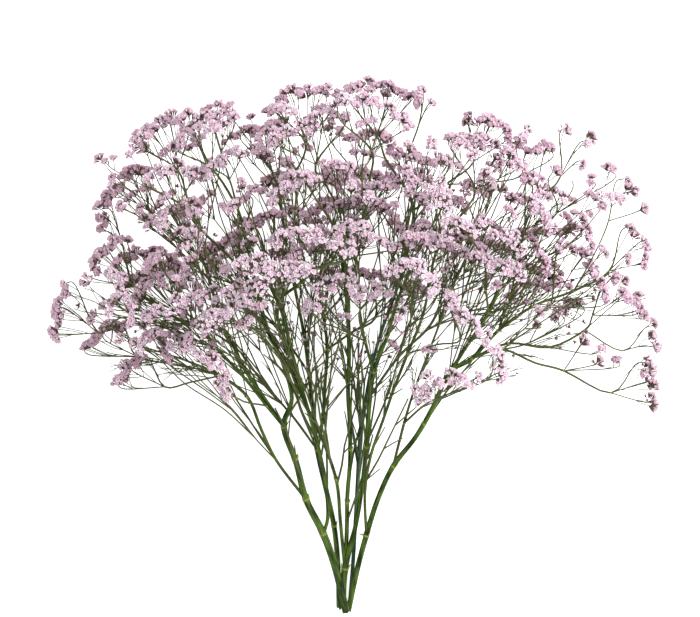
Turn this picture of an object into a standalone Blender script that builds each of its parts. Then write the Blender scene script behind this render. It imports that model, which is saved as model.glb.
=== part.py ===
"""A bunch of dried statice, lying on a table: five cut stems, gathered at their cut ends, that fork and fork
again into a wide crown of wiry twigs, and the bands of small pink flowers that the twigs carry.

The bunch lies along Y with its cut ends towards -Y, and the table is the plane Z = 0.
"""

import math

import bpy
import numpy as np

for leftover in list(bpy.data.objects):
    bpy.data.objects.remove(leftover)

MM = 0.001

# Where the middle of the bunch's footprint lies, measured from the crossing of the cut ends, in mm.
FOOTPRINT_MIDDLE = (12.05, 268.05)

# The crown is a flattened dome: its middle, its half width and half length, and its half depth, in mm.
CROWN_MIDDLE = (10.0, 345.0)
CROWN_HALF_WIDTH = 320.0
CROWN_HALF_LENGTH = 205.0
CROWN_HALF_DEPTH = 112.0
THINNEST_CROWN = 0.12
CUT_END_HEIGHT = 12.0
AXIS_RISE = 0.33

# Stems and twigs. A branch's radius grows with the number of twigs beyond it.
TWIG_RADIUS = 0.62
PIPE_POWERS = {
    "stem_left": 0.41,
    "stem_middle": 0.475,
    "stem_back_left": 0.41,
    "stem_back_right": 0.37,
    "stem_right": 0.355,
}
THIN_BRANCH_RADIUS = 1.45
THICK_BRANCH_RADIUS = 2.0
GREAT_BRANCH_RADIUS = 2.9
RUN_STEP = 40.0
CURVE_STEPS = 12
FAN_SIZE = 4
FAN_REACH = 27.0
FAN_SPREAD = 0.34
FACING_LIFT = 0.75
NECK_LENGTH = 10.6
CUP_RADIUS = 1.6

# A stalk runs from a fork on a stem to its fan of twigs. It leaves from where its length, its turn and the
# fans already on that branch cost the least, and it curves from the branch's heading to the fan's.
HUB_POINT = 5
STALK_STEP = 38.0
SHORTEST_STALK = 24.0
SHORT_STALK_COST = 3.0
TURN_COST = 2.2
SHARP_TURN = 0.45
SHARP_TURN_COST = 400.0
CROWDING_COST = 34.0
LEAVING_PULL = 0.9
ARRIVING_PULL = 0.7
LOWEST_FORK = 4.0

# Flower bands: the spacing of twigs along a band, the rings of florets from one twig to the next, and for
# each ring how far its florets stand out of the slim middle. A floret's height is from spine to tip.
TWIG_SPACING = 26.0
RINGS_PER_TWIG = 4
FLORET_ANGLES = (180.0, -116.0, -60.0, 0.0, 60.0, 116.0)
KEEL_RADIUS = 4.0
HOLLOW_RADIUS = 3.3
FLORET_HEIGHT = 8.3
FLORET_VARIATION = 0.13
FLORET_LEAN = 1.3
HEAD_SHARES = (1.0, 0.95, 0.82, 0.95)
AIRY_SHARES = (1.0, 0.62, 0.2, 0.62)
BAND_END_LENGTH = 4.5
BAND_CLEARANCE_RADIUS = 9.2
BAND_REST_HEIGHT = 2.9
PRESSED_FLAT_BELOW = 0.6
STEM_REST_SHARE = 0.8

# Small sprays stand apart between the bands, each a head of florets on a stalk of its own. They are sown over
# parts of the crown by a seeded draw, each part as (middle), (half width, half length), (lowest depth, highest
# depth) and the places tried in it, and one grows only where nothing else flowers near by.
SPRAY_ZONES = (
    ((-85, 430), (165, 82), (-0.7, 0.9), 70),
    ((150, 395), (120, 85), (-0.7, 0.8), 60),
    ((-175, 312), (90, 60), (-0.5, 0.8), 60),
    ((235, 320), (75, 70), (-0.4, 0.5), 60),
    ((20, 300), (170, 45), (-0.5, 0.7), 40),
)
SPRAY_SEED = 17
SPRAY_FROM_BANDS = 27.0
SPRAY_APART = 53.0
SPRAY_STALK_STEP = 56.0
SPRAY_NECK = 12.0
SPRAY_REACH = 7.6
SPRAY_HOLLOW = 4.4
SPRAY_RISE = 2.2
SPRAY_DEPTH = 3.4
SPRAY_CLEARANCE_RADIUS = 7.0

# Neighbouring pieces keep this much air between them, in mm: a cup and its band, and what would cross.
SEAT_GAP = 0.35
BEND_CLEAR_GAP = 0.2
BEND_EXTRA = 0.02
BEND_ROUNDS = 300
SEARCH_MARGIN = 8.0
LINK_END_SHARE = 0.08

# Each stem: runs of points (x, y, z) in mm, from the cut end outwards. The first run is the stem itself, and
# every later run is a branch that starts at the nearest point of the runs before it.
STEMS = {
    "stem_left": (
        ((0.8, 2, 14.2), (-9, 43, 13.4), (-14, 62, 17), (-27, 89, 25), (-44, 125, 36), (-50, 155, 45),
         (-57, 180, 53), (-79, 213, 66), (-100, 245, 82), (-117, 275, 98), (-130, 315, 116), (-142, 355, 132),
         (-152, 395, 140)),
        ((-44, 125, 36), (-75, 162, 46), (-95, 213, 60), (-117, 233, 72), (-137, 245, 80), (-160, 249, 84)),
        ((-57, 180, 53), (-78, 208, 64), (-97, 232, 78), (-118, 257, 90), (-142, 271, 100), (-165, 283, 108),
         (-190, 293, 114), (-225, 297, 118)),
        ((-14, 62, 17), (-17, 88, 26), (-18, 118, 38), (-24, 155, 54), (-36, 200, 76), (-50, 250, 100),
         (-62, 300, 124)),
        ((-57, 180, 53), (-52, 205, 68), (-60, 245, 92), (-75, 285, 116), (-88, 325, 138)),
    ),
    "stem_middle": (
        ((-2.8, 5, 8.8), (0, 52, 11), (2, 86, 20), (2, 111, 29), (5, 152, 44), (5, 185, 57), (3, 218, 71),
         (4, 260, 89), (3, 300, 107), (0, 340, 124), (-4, 390, 140), (-8, 440, 150)),
        ((0, 52, 11), (9, 80, 22), (15, 111, 35), (20, 152, 52), (22, 172, 61), (27, 235, 92), (40, 272, 112),
         (52, 312, 134), (62, 352, 152)),
        ((27, 235, 92), (20, 275, 116), (14, 315, 138), (12, 355, 156)),
        ((0, 52, 11), (-5, 94, 26), (-9, 135, 43), (-20, 168, 56), (-33, 198, 70), (-46, 222, 84),
         (-58, 262, 108), (-68, 310, 136)),
    ),
    "stem_back_left": (
        ((-5.6, 7, 1.6), (-7, 44, 5.5), (-11, 86, 14), (-21, 132, 26), (-28, 164, 35), (-32, 202, 46),
         (-36, 240, 57), (-42, 285, 70), (-52, 335, 84), (-62, 385, 98), (-70, 435, 108)),
        ((-28, 164, 35), (-50, 195, 42), (-78, 225, 48), (-105, 262, 52), (-130, 300, 54), (-150, 335, 56)),
        ((-28, 164, 35), (-22, 200, 38), (-20, 235, 38), (-18, 265, 36)),
    ),
    "stem_back_right": (
        ((5.0, 10, 1.6), (7.8, 45, 5.5), (12, 119, 22), (14, 160, 33), (17, 193, 44), (24, 226, 54),
         (34, 262, 66), (46, 305, 80), (58, 350, 94), (68, 400, 106), (76, 445, 114)),
        ((24, 226, 54), (48, 252, 56), (82, 285, 58), (112, 318, 60), (138, 350, 60)),
    ),
    "stem_right": (
        ((3.8, 3.5, 5.8), (8.6, 28, 8.6), (14, 49, 14.5), (24, 86, 26), (35, 119, 35), (54, 157, 47),
         (80, 189, 59), (98, 230, 76), (117, 262, 92), (138, 292, 108), (155, 328, 122), (172, 368, 132),
         (188, 408, 136)),
        ((98, 230, 76), (120, 249, 86), (136, 264, 93), (154, 270, 98), (177, 272, 103), (210, 266, 107),
         (252, 246, 111), (280, 232, 113)),
        ((210, 266, 107), (232, 281, 110), (256, 292, 114), (272, 298, 116)),
        ((117, 262, 92), (150, 282, 102), (180, 304, 110), (205, 317, 116), (228, 325, 120)),
        ((24, 86, 26), (20, 119, 45), (25, 155, 62), (34, 182, 76), (46, 218, 96), (60, 255, 118),
         (76, 295, 142)),
        ((54, 157, 47), (58, 185, 64), (66, 215, 84), (78, 248, 106), (92, 285, 128), (106, 325, 148)),
    ),
}

# Each flower band: its stem, its depth in the crown (-1 at the table side, 1 nearest a viewer above), whether
# its heads stand apart on a thin stalk, and its run through the crown as points (x, y) in mm.
BANDS = {
    "flowers_far_left": ("stem_left", -0.2, False, ((-279, 332), (-289, 315), (-285, 297), (-288, 280))),
    "flowers_low_left": ("stem_left", -0.5, False, ((-224, 292), (-245, 282), (-262, 268))),
    "flowers_left_rim": ("stem_left", -0.3, False, ((-223, 378), (-240, 368), (-249, 355), (-256, 339))),
    "flowers_left_high_rim": ("stem_left", -0.6, False, (
        (-198, 443), (-211, 449), (-220, 434), (-237, 421), (-244, 403), (-245, 384))),
    "flowers_left_shoulder": ("stem_left", -0.3, False, ((-205, 466), (-198, 484), (-177, 494), (-156, 503))),
    "flowers_left_top": ("stem_left", 0.4, False, ((-169, 465), (-157, 480), (-133, 494), (-111, 494))),
    "flowers_left_high_arch": ("stem_left", 0.1, False, (
        (-197, 393), (-179, 403), (-158, 410), (-136, 412), (-115, 410), (-96, 420))),
    "flowers_left_arch": ("stem_left", -0.5, False, (
        (-226, 352), (-210, 362), (-192, 364), (-174, 358))),
    "flowers_left_low_arch": ("stem_left", 0.05, False, (
        (-214, 310), (-204, 328), (-185, 339), (-163, 338), (-148, 329))),
    "flowers_left_curtain": ("stem_left", 1.0, False, (
        (-140, 296), (-118, 303), (-101, 315), (-88, 330))),
    "flowers_left_front": ("stem_left", 0.75, False, (
        (-210, 294), (-190, 302), (-168, 311), (-149, 319), (-132, 322))),
    "flowers_left_skirt": ("stem_left", 0.5, False, (
        (-208, 276), (-190, 283), (-170, 276), (-148, 262), (-128, 250), (-120, 234), (-124, 216))),
    "flowers_left_tail": ("stem_left", -0.3, False, ((-203, 262), (-215, 250), (-229, 232))),
    "flowers_crown_left": ("stem_back_left", -0.5, False, ((-104, 482), (-83, 486), (-65, 496))),
    "flowers_crown_peak": ("stem_back_left", -0.3, False, (
        (-74, 508), (-60, 520), (-43, 525), (-24, 521), (-6, 523))),
    "flowers_crown_right": ("stem_back_right", -0.2, False, (
        (0, 524), (16, 528), (35, 525), (52, 525), (66, 518))),
    "flowers_crown_tips": ("stem_back_right", 0.2, True, ((71, 510), (75, 528), (89, 513))),
    "flowers_crown_front": ("stem_middle", 0.5, False, (
        (-7, 506), (15, 514), (39, 508), (47, 500), (63, 489))),
    "flowers_crown_inner": ("stem_middle", 0.4, False, (
        (0, 498), (-20, 500), (-40, 493), (-52, 480), (-66, 472))),
    "flowers_crown_wave": ("stem_back_right", -0.7, False, (
        (-12, 484), (8, 478), (28, 481), (47, 474), (62, 462), (82, 458), (104, 452))),
    "flowers_upper_left": ("stem_back_left", -0.2, False, ((-93, 468), (-77, 463), (-63, 453), (-48, 445))),
    "flowers_middle_left": ("stem_left", 0.8, False, ((-72, 418), (-58, 429), (-43, 438), (-26, 435))),
    "flowers_heart": ("stem_middle", 0.2, False, ((-6, 446), (6, 432), (26, 431), (50, 433))),
    "flowers_middle_band": ("stem_middle", -0.1, False, (
        (-43, 401), (-26, 409), (-10, 405), (14, 409), (40, 407))),
    "flowers_left_middle": ("stem_left", -0.3, False, (
        (-47, 402), (-69, 403), (-89, 398), (-93, 385), (-113, 376))),
    "flowers_middle_wave": ("stem_middle", 0.8, False, (
        (-70, 375), (-48, 383), (-28, 376), (-12, 366), (6, 366))),
    "flowers_long_wave": ("stem_middle", 0.6, False, (
        (-8, 382), (4, 390), (27, 387), (35, 376), (55, 370), (79, 381), (96, 372))),
    "flowers_right_curtain": ("stem_right", 0.9, False, ((87, 430), (101, 415), (96, 395), (107, 377))),
    "flowers_front": ("stem_middle", 1.0, False, ((44, 344), (58, 354), (73, 350), (86, 336), (90, 320))),
    "flowers_front_left": ("stem_left", 0.95, False, (
        (-36, 346), (-52, 338), (-68, 344), (-85, 352), (-102, 352))),
    "flowers_inner_front": ("stem_middle", 0.6, False, (
        (40, 328), (22, 322), (6, 330), (-11, 336), (-25, 324), (-40, 306))),
    "flowers_right_top": ("stem_back_right", -0.8, False, (
        (125, 498), (143, 498), (161, 484), (175, 468), (192, 468), (206, 466))),
    "flowers_right_high": ("stem_right", 0.35, False, (
        (105, 475), (125, 474), (145, 467), (158, 456), (175, 452))),
    "flowers_right_tips": ("stem_right", 0.1, True, ((218, 486), (232, 477), (246, 470), (241, 452))),
    "flowers_right_knots": ("stem_right", -0.2, True, (
        (206, 441), (221, 440), (231, 430), (241, 431), (250, 445), (263, 444))),
    "flowers_right_high_wing": ("stem_right", 0.0, False, ((277, 436), (288, 425), (298, 408))),
    "flowers_right_wing": ("stem_right", 0.0, False, (
        (280, 388), (294, 382), (302, 368), (303, 352))),
    "flowers_right_band": ("stem_right", -0.2, False, ((121, 429), (139, 427), (158, 418), (173, 417))),
    "flowers_right_bright": ("stem_right", 0.6, False, ((185, 428), (196, 416), (185, 403), (201, 393))),
    "flowers_right_chain": ("stem_right", -0.5, False, (
        (172, 382), (186, 378), (200, 386), (215, 383), (232, 387))),
    "flowers_right_front": ("stem_right", 0.75, False, ((121, 390), (140, 383), (158, 379), (175, 369))),
    "flowers_right_low_front": ("stem_right", 0.6, False, ((131, 359), (153, 351), (175, 340))),
    "flowers_right_edge": ("stem_right", -0.1, False, (
        (216, 371), (232, 364), (245, 352), (253, 332), (260, 311))),
    "flowers_right_inner": ("stem_right", -0.4, False, ((169, 336), (185, 338), (203, 328))),
    "flowers_right_outer": ("stem_right", -0.2, False, (
        (267, 342), (277, 327), (289, 312), (303, 300), (312, 284), (308, 268))),
    "flowers_right_low_tip": ("stem_right", -0.4, False, ((301, 252), (305, 235), (311, 215))),
    "flowers_right_twig": ("stem_right", -0.5, True, ((238, 271), (247, 258), (265, 264), (274, 257))),
    "flowers_right_under": ("stem_right", -0.3, False, ((231, 314), (218, 306), (206, 303), (198, 290))),
    "flowers_right_hang": ("stem_right", 0.9, False, (
        (108, 312), (118, 297), (132, 286), (146, 273), (157, 256), (158, 238))),
    "flowers_low_front": ("stem_right", 1.0, False, (
        (128, 234), (112, 239), (97, 230), (83, 230), (70, 216))),
    "flowers_left_inner_top": ("stem_left", 0.6, False, (
        (-200, 434), (-180, 444), (-154, 440), (-130, 449), (-108, 460))),
    "flowers_under_left": ("stem_back_left", -2.0, False, (
        (-238, 312), (-215, 334), (-188, 348), (-160, 350), (-136, 366), (-110, 376))),
    "flowers_under_top": ("stem_back_left", -2.0, False, (
        (-80, 432), (-50, 441), (-18, 436), (12, 443), (45, 438))),
    "flowers_under_right": ("stem_back_right", -2.0, False, (
        (108, 388), (140, 378), (166, 364), (192, 350), (216, 336), (234, 316))),
    "flowers_under_middle": ("stem_back_left", -0.75, False, (
        (-112, 322), (-82, 330), (-52, 342), (-20, 338), (14, 344), (48, 336), (78, 326))),
}


def unit(vector):
    """The vector at length 1, or as it is where it has no length."""
    length = np.linalg.norm(vector, axis=-1, keepdims=True)
    return vector / np.maximum(length, 1e-9)


def crown_height(x, y, depth):
    """Height above the table of a place in the crown: the bunch's axis rises evenly from the cut ends, and
    depth from -1 to 1 goes across the dome's thickness there. No band lies lower than it does at rest."""
    across = (x - CROWN_MIDDLE[0]) / CROWN_HALF_WIDTH
    along = (y - CROWN_MIDDLE[1]) / CROWN_HALF_LENGTH
    thickness = np.sqrt(np.maximum(THINNEST_CROWN, 1.0 - across**2 - along**2))
    height = CUT_END_HEIGHT + AXIS_RISE * y + depth * CROWN_HALF_DEPTH * thickness
    return np.maximum(height, BAND_REST_HEIGHT)


def smooth_curve(points, per_span):
    """A Catmull-Rom curve through the points, with per_span steps from each point to the next."""
    points = np.asarray(points, float)
    ends = np.vstack([2 * points[0] - points[1], points, 2 * points[-1] - points[-2]])
    steps = np.linspace(0.0, 1.0, per_span, endpoint=False)[:, None]
    spans = []
    for a, b, c, d in zip(ends[:-3], ends[1:-2], ends[2:-1], ends[3:]):
        spans.append(
            0.5 * (2 * b + (c - a) * steps + (2 * a - 5 * b + 4 * c - d) * steps**2
                   + (3 * b - a - 3 * c + d) * steps**3)
        )
    return np.vstack([*spans, points[-1:]])


def evenly_spaced(points, spacing):
    """Points about this far apart along a smooth curve through the points, its two ends among them."""
    curve = smooth_curve(points, CURVE_STEPS)
    travelled = np.concatenate([[0.0], np.cumsum(np.linalg.norm(np.diff(curve, axis=0), axis=1))])
    count = max(2, round(travelled[-1] / spacing) + 1)
    places = np.linspace(0.0, travelled[-1], count)
    return np.stack([np.interp(places, travelled, curve[:, k]) for k in range(3)], axis=1)


class Plant:
    """The whole bunch as points and the links between them. Each point but a cut end has a parent point, a
    stem that it belongs to, and, where it carries a flower band, that band's place."""

    def __init__(self):
        self.places = []
        self.parents = []
        self.stems = []
        self.kinds = []
        self.runs = []
        self.fans_on_run = {}
        self.bands = {}
        self.necks = {}
        self.sprays = []

    def add(self, place, parent, stem, kind, run=None):
        self.places.append(np.asarray(place, float))
        self.runs.append(self.runs[parent] if run is None else run)
        self.parents.append(parent)
        self.stems.append(stem)
        self.kinds.append(kind)
        return len(self.places) - 1

    def add_chain(self, places, parent, stem, kind, run=None):
        for place in places:
            parent = self.add(place, parent, stem, kind, run)
        return parent

    def nearest(self, stem, place):
        found = [i for i, owner in enumerate(self.stems) if owner == stem]
        return min(found, key=lambda i: np.linalg.norm(self.places[i] - place))

    def heading(self, i):
        """The way that the stem or branch runs as it reaches point i."""
        parent = self.parents[i]
        if parent is None:
            return np.array([0.0, 1.0, 0.3])
        return unit(self.places[i] - self.places[parent])

    def best_fork(self, stem, goal):
        """The point of the stem's branches that a stalk to the goal leaves with the least length and turn."""
        best, least = None, math.inf
        for i, owner in enumerate(self.stems):
            if owner != stem or self.kinds[i] not in ("run", "stalk"):
                continue
            way = goal - self.places[i]
            length = np.linalg.norm(way)
            turn = 1.0 - float(unit(way) @ self.heading(i))
            cost = length * (1.0 + TURN_COST * turn)
            cost += SHARP_TURN_COST * max(0.0, turn - SHARP_TURN)
            cost += SHORT_STALK_COST * max(0.0, SHORTEST_STALK - length)
            cost += CROWDING_COST * self.fans_on_run.get(self.runs[i], 0)
            if cost < least:
                best, least = i, cost
        self.fans_on_run[self.runs[best]] = self.fans_on_run.get(self.runs[best], 0) + 1
        return best


def stalk_points(plant, start, goal, arrival, step):
    """Points of a stalk from a fork to a goal: it leaves along its branch and arrives along the given way."""
    begin = plant.places[start]
    length = np.linalg.norm(goal - begin)
    leaving = unit(plant.heading(start) + unit(goal - begin)) * length * LEAVING_PULL
    arriving = arrival * length * ARRIVING_PULL
    count = max(1, round(length / step))
    t = np.linspace(0.0, 1.0, count + 1)[1:, None]
    return ((2 * t**3 - 3 * t**2 + 1) * begin + (t**3 - 2 * t**2 + t) * leaving
            + (3 * t**2 - 2 * t**3) * goal + (t**3 - t**2) * arriving)


def grow_stems(plant):
    """The runs of each stem: the stem itself, and the branches that fork from it."""
    for stem, runs in STEMS.items():
        for number, run in enumerate(runs):
            places = evenly_spaced(run, RUN_STEP)
            if run is runs[0]:
                parent = None
            else:
                parent = plant.nearest(stem, places[0])
                places = places[1:]
            plant.add_chain(places, parent, stem, "run", (stem, number))


def grow_bands(plant):
    """Each band's points, and the fans of twigs that carry them, the lowest in the crown first."""
    hub = {stem: np.asarray(runs[0][HUB_POINT], float) for stem, runs in STEMS.items()}
    fans = []
    for name, (stem, depth, _, outline) in BANDS.items():
        flat = np.asarray(outline, float)
        run = np.column_stack([flat, crown_height(flat[:, 0], flat[:, 1], depth)])
        carried = evenly_spaced(run, TWIG_SPACING)
        for part in np.array_split(np.arange(len(carried)), math.ceil(len(carried) / FAN_SIZE)):
            middle = carried[part].mean(axis=0)
            outward = unit(unit(middle - hub[stem]) + (0.0, 0.0, FACING_LIFT * max(depth, 0.0)))
            span = np.linalg.norm(carried[part[-1]] - carried[part[0]])
            fork = middle - outward * (FAN_REACH + FAN_SPREAD * span)
            fans.append((np.linalg.norm(fork - hub[stem]), name, stem, part, carried, outward, fork))
        plant.bands[name] = [None] * len(carried)
        plant.necks[name] = [None] * len(carried)
    for _, name, stem, part, carried, outward, fork in sorted(fans, key=lambda fan: fan[0]):
        fork[2] = max(fork[2], LOWEST_FORK)
        start = plant.best_fork(stem, fork)
        end = plant.add_chain(stalk_points(plant, start, fork, outward, STALK_STEP), start, stem, "stalk")
        along = unit(np.gradient(carried, axis=0))
        for k in part:
            way = carried[k] - fork
            facing = unit(way - along[k] * (way @ along[k]))
            plant.necks[name][k] = plant.add(carried[k] - facing * NECK_LENGTH, end, stem, "twig")
            plant.bands[name][k] = plant.add(carried[k], plant.necks[name][k], stem, "tip")


def sown_places(zone, draw):
    """Places drawn evenly over an oval part of the crown, at any depth between its two."""
    (middle_x, middle_y), (half_width, half_length), (lowest, highest), count = zone
    turn = draw.uniform(0.0, 2 * math.pi, count)
    out = np.sqrt(draw.uniform(0.0, 1.0, count))
    x = middle_x + half_width * out * np.cos(turn)
    y = middle_y + half_length * out * np.sin(turn)
    return np.column_stack([x, y, crown_height(x, y, draw.uniform(lowest, highest, count))])


def grow_sprays(plant):
    """The small sprays: each one's stalk forks from the stem whose band is nearest."""
    draw = np.random.default_rng(SPRAY_SEED)
    tips = [i for band in plant.bands.values() for i in band]
    flowered = np.array([plant.places[i] for i in tips])
    middles = [0.5 * (plant.places[a] + plant.places[b])
               for band in plant.bands.values() for a, b in zip(band[:-1], band[1:])]
    taken = np.vstack([flowered, middles])
    for place in np.vstack([sown_places(zone, draw) for zone in SPRAY_ZONES]):
        apart = [np.linalg.norm(place - plant.places[i]) for i in plant.sprays]
        if np.linalg.norm(taken - place, axis=1).min() < SPRAY_FROM_BANDS or min(apart, default=99) < SPRAY_APART:
            continue
        stem = plant.stems[tips[np.linalg.norm(flowered - place, axis=1).argmin()]]
        outward = unit(place - np.asarray(STEMS[stem][0][HUB_POINT], float))
        neck = place - outward * SPRAY_NECK
        start = plant.best_fork(stem, neck)
        stalk = stalk_points(plant, start, neck, outward, SPRAY_STALK_STEP)
        end = plant.add_chain(stalk, start, stem, "stalk")
        plant.sprays.append(plant.add(place, end, stem, "tip"))


def twigs_carried(plant):
    """How many twig tips lie beyond each point."""
    carried = np.zeros(len(plant.places), int)
    for i in reversed(range(len(plant.places))):
        carried[i] += plant.kinds[i] == "tip"
        if plant.parents[i] is not None:
            carried[plant.parents[i]] += carried[i]
    return carried


def closest_on_links(a0, a1, b0, b1):
    """For each pair of straight links a and b, where along each of them they come closest, from 0 to 1."""
    d1, d2, r = a1 - a0, b1 - b0, a0 - b0
    a = np.maximum((d1 * d1).sum(1), 1e-9)
    e = np.maximum((d2 * d2).sum(1), 1e-9)
    b, c, f = (d1 * d2).sum(1), (d1 * r).sum(1), (d2 * r).sum(1)
    slant = a * e - b * b
    s = np.where(slant > 1e-6 * a * e, np.clip((b * f - c * e) / np.maximum(slant, 1e-9), 0, 1), 0.5)
    t = np.clip((b * s + f) / e, 0, 1)
    s = np.clip((b * t - c) / a, 0, 1)
    return s, t


def links_of(plant, radii):
    """Every link as (point, point, radius, owner): stems and twigs by stem, and bands by name."""
    carried = twigs_carried(plant)
    links = []
    for i, parent in enumerate(plant.parents):
        if i in plant.sprays:
            links.append((parent, i, SPRAY_CLEARANCE_RADIUS, plant.stems[i]))
        elif parent is not None and carried[i]:
            links.append((parent, i, max(radii[i], radii[parent]), plant.stems[i]))
    for name, tips in plant.bands.items():
        for first, second in zip(tips[:-1], tips[1:]):
            links.append((first, second, BAND_CLEARANCE_RADIUS, name))
    return links


def bend_clear(plant, radii):
    """Bends what would cross something of another piece until they stand clear: each round pushes the points
    of two links apart where the links are too close, then lifts what would sink into the table."""
    places = np.array(plant.places)
    links = links_of(plant, radii)
    first = np.array([link[0] for link in links])
    second = np.array([link[1] for link in links])
    radius = np.array([link[2] for link in links])
    owners = {name: number for number, name in enumerate([*STEMS, *BANDS])}
    owner = np.array([owners[link[3]] for link in links])
    low, high = np.triu_indices(len(links), 1)
    apart = owner[low] != owner[high]
    low, high = low[apart], high[apart]
    shared = ((first[low] == first[high]) | (first[low] == second[high])
              | (second[low] == first[high]) | (second[low] == second[high]))
    low, high = low[~shared], high[~shared]
    half = 0.5 * np.linalg.norm(places[first] - places[second], axis=1)
    reach = radius[low] + radius[high] + BEND_CLEAR_GAP
    table = np.zeros(len(places))
    rest = np.where(radius == BAND_CLEARANCE_RADIUS, BAND_REST_HEIGHT, STEM_REST_SHARE * radius)
    np.maximum.at(table, first, rest)
    np.maximum.at(table, second, rest)
    left = 0
    for _ in range(BEND_ROUNDS):
        middle = 0.5 * (places[first] + places[second])
        between = np.linalg.norm(middle[low] - middle[high], axis=1)
        near = between < half[low] + half[high] + reach + SEARCH_MARGIN
        a, b = low[near], high[near]
        s, t = closest_on_links(places[first[a]], places[second[a]], places[first[b]], places[second[b]])
        on_a = places[first[a]] * (1 - s)[:, None] + places[second[a]] * s[:, None]
        on_b = places[first[b]] * (1 - t)[:, None] + places[second[b]] * t[:, None]
        gap = on_a - on_b
        distance = np.linalg.norm(gap, axis=1)
        short = reach[near] - distance
        close = short > 0
        left = int(close.sum())
        if not left:
            break
        gap[distance < 1e-3] = (0.0, 0.0, 1.0)
        push = unit(gap[close]) * (0.5 * short[close] + BEND_EXTRA)[:, None]
        a, b, s, t = a[close], b[close], s[close], t[close]
        give_a = (radius[b] / (radius[a] + radius[b]))[:, None]
        give_b = 1.0 - give_a
        moved = np.zeros_like(places)
        count = np.zeros(len(places))
        for points, share, amount in (
            (first[a], 1 - s, push * give_a * 2), (second[a], s, push * give_a * 2),
            (first[b], 1 - t, -push * give_b * 2), (second[b], t, -push * give_b * 2),
        ):
            weight = share > LINK_END_SHARE
            np.add.at(moved, points[weight], amount[weight])
            np.add.at(count, points[weight], 1)
        places += moved / np.maximum(count, 1)[:, None]
        places[:, 2] = np.maximum(places[:, 2], table)
    plant.places = list(places)
    return left


def radii_of(plant):
    """The radius of stem or twig at each point, from how many twigs it carries."""
    powers = np.array([PIPE_POWERS[stem] for stem in plant.stems])
    return TWIG_RADIUS * np.maximum(twigs_carried(plant), 1) ** powers


def chains_of(plant, stem):
    """The stem as chains of points: at each fork the thickest way goes on, and each other way starts a new
    chain at the fork's own point, so that its root is sunk in the branch that it leaves."""
    carried = twigs_carried(plant)
    children = {}
    for i, parent in enumerate(plant.parents):
        if plant.stems[i] == stem and carried[i]:
            children.setdefault(parent, []).append(i)
    chains, waiting = [], [[children[None][0]]]
    while waiting:
        chain = waiting.pop()
        while chain[-1] in children:
            ways = sorted(children[chain[-1]], key=lambda i: -carried[i])
            waiting.extend([chain[-1], other] for other in ways[1:])
            chain.append(ways[0])
        chains.append(chain)
    return chains


def ring_frames(path):
    """At each point of a path, two directions square to it and to each other, which turn as little as they can
    from ring to ring."""
    along = unit(np.gradient(path, axis=0))
    side = unit(np.cross(along[0], (0.0, 0.0, 1.0) if abs(along[0][2]) < 0.9 else (1.0, 0.0, 0.0)))
    sides = []
    for way in along:
        side = unit(side - way * (side @ way))
        sides.append(side)
    sides = np.array(sides)
    return sides, np.cross(along, sides)


def tube_mesh(name, path, radii, sides, end_way, head=None):
    """A closed tube with flat ends along the path, each ring a regular polygon of its own radius. The last ring
    lies square to end_way. Where a head's reaches are given, the tube ends in one: it widens to a rim where
    floret tips and hollows take turns, and closes over them in a low dome."""
    across, up = ring_frames(path)
    across[-1] = unit(across[-1] - end_way * (across[-1] @ end_way))
    up[-1] = np.cross(end_way, across[-1])
    turn = np.arange(sides) * 2 * math.pi / sides + math.pi / sides
    rings = (path[:, None] + radii[:, None, None] * (
        np.cos(turn)[None, :, None] * across[:, None] + np.sin(turn)[None, :, None] * up[:, None]))
    if head is None:
        return ring_mesh(name, rings, None, None)
    turn = (np.arange(2 * sides) + 1) * math.pi / sides
    rise = SPRAY_DEPTH + SPRAY_RISE * (np.arange(2 * sides) % 2)
    rim = path[-1] + (head[:, None] * (np.cos(turn)[:, None] * across[-1] + np.sin(turn)[:, None] * up[-1])
                      + rise[:, None] * end_way)
    return ring_mesh(name, rings, None, path[-1] + 2 * SPRAY_DEPTH * end_way, None, rim)


def ring_mesh(name, rings, start_tip, end_tip, raised=None, rim=None):
    """A mesh over rings of equal count, closed at each end by a flat face, or by faces that meet at a tip. Where
    points are raised, each four-sided place is split in two along its points that aren't. A rim has twice a
    ring's points and comes after the last ring."""
    count, sides = rings.shape[:2]
    vertices = list(rings.reshape(-1, 3))
    faces = []
    for ring in range(count - 1):
        for side in range(sides):
            a, b = ring * sides + side, ring * sides + (side + 1) % sides
            if raised is None:
                faces.append((a, b, b + sides, a + sides))
            elif raised.flat[a] or raised.flat[b + sides]:
                faces += [(a, b, a + sides), (b, b + sides, a + sides)]
            else:
                faces += [(a, b, b + sides), (a, b + sides, a + sides)]
    last = [(count - 1) * sides + side for side in range(sides)]
    if rim is not None:
        vertices.extend(rim)
        wide = [count * sides + place for place in range(2 * sides)]
        for side, a in enumerate(last):
            b, middle, after = last[(side + 1) % sides], wide[2 * side + 1], wide[(2 * side + 2) % (2 * sides)]
            faces += [(a, b, middle), (a, middle, wide[2 * side]), (b, after, middle)]
        last = wide
    for tip, loop in ((start_tip, list(range(sides))[::-1]), (end_tip, last)):
        if tip is None:
            faces.append(tuple(loop))
            continue
        vertices.append(tip)
        for a, b in zip(loop, loop[1:] + loop[:1]):
            faces.append((a, b, len(vertices) - 1))
    vertices = np.array(vertices)
    vertices[vertices[:, 2] < PRESSED_FLAT_BELOW, 2] = 0.0
    vertices[:, :2] -= FOOTPRINT_MIDDLE
    mesh = bpy.data.meshes.new(name)
    mesh.from_pydata((vertices * MM).tolist(), [], faces)
    mesh.update()
    return mesh


def sides_for(radius):
    """Few sides on a thin twig, and more on a thick stem."""
    if radius < THIN_BRANCH_RADIUS:
        return 3
    if radius < THICK_BRANCH_RADIUS:
        return 4
    return 6 if radius < GREAT_BRANCH_RADIUS else 8


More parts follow.
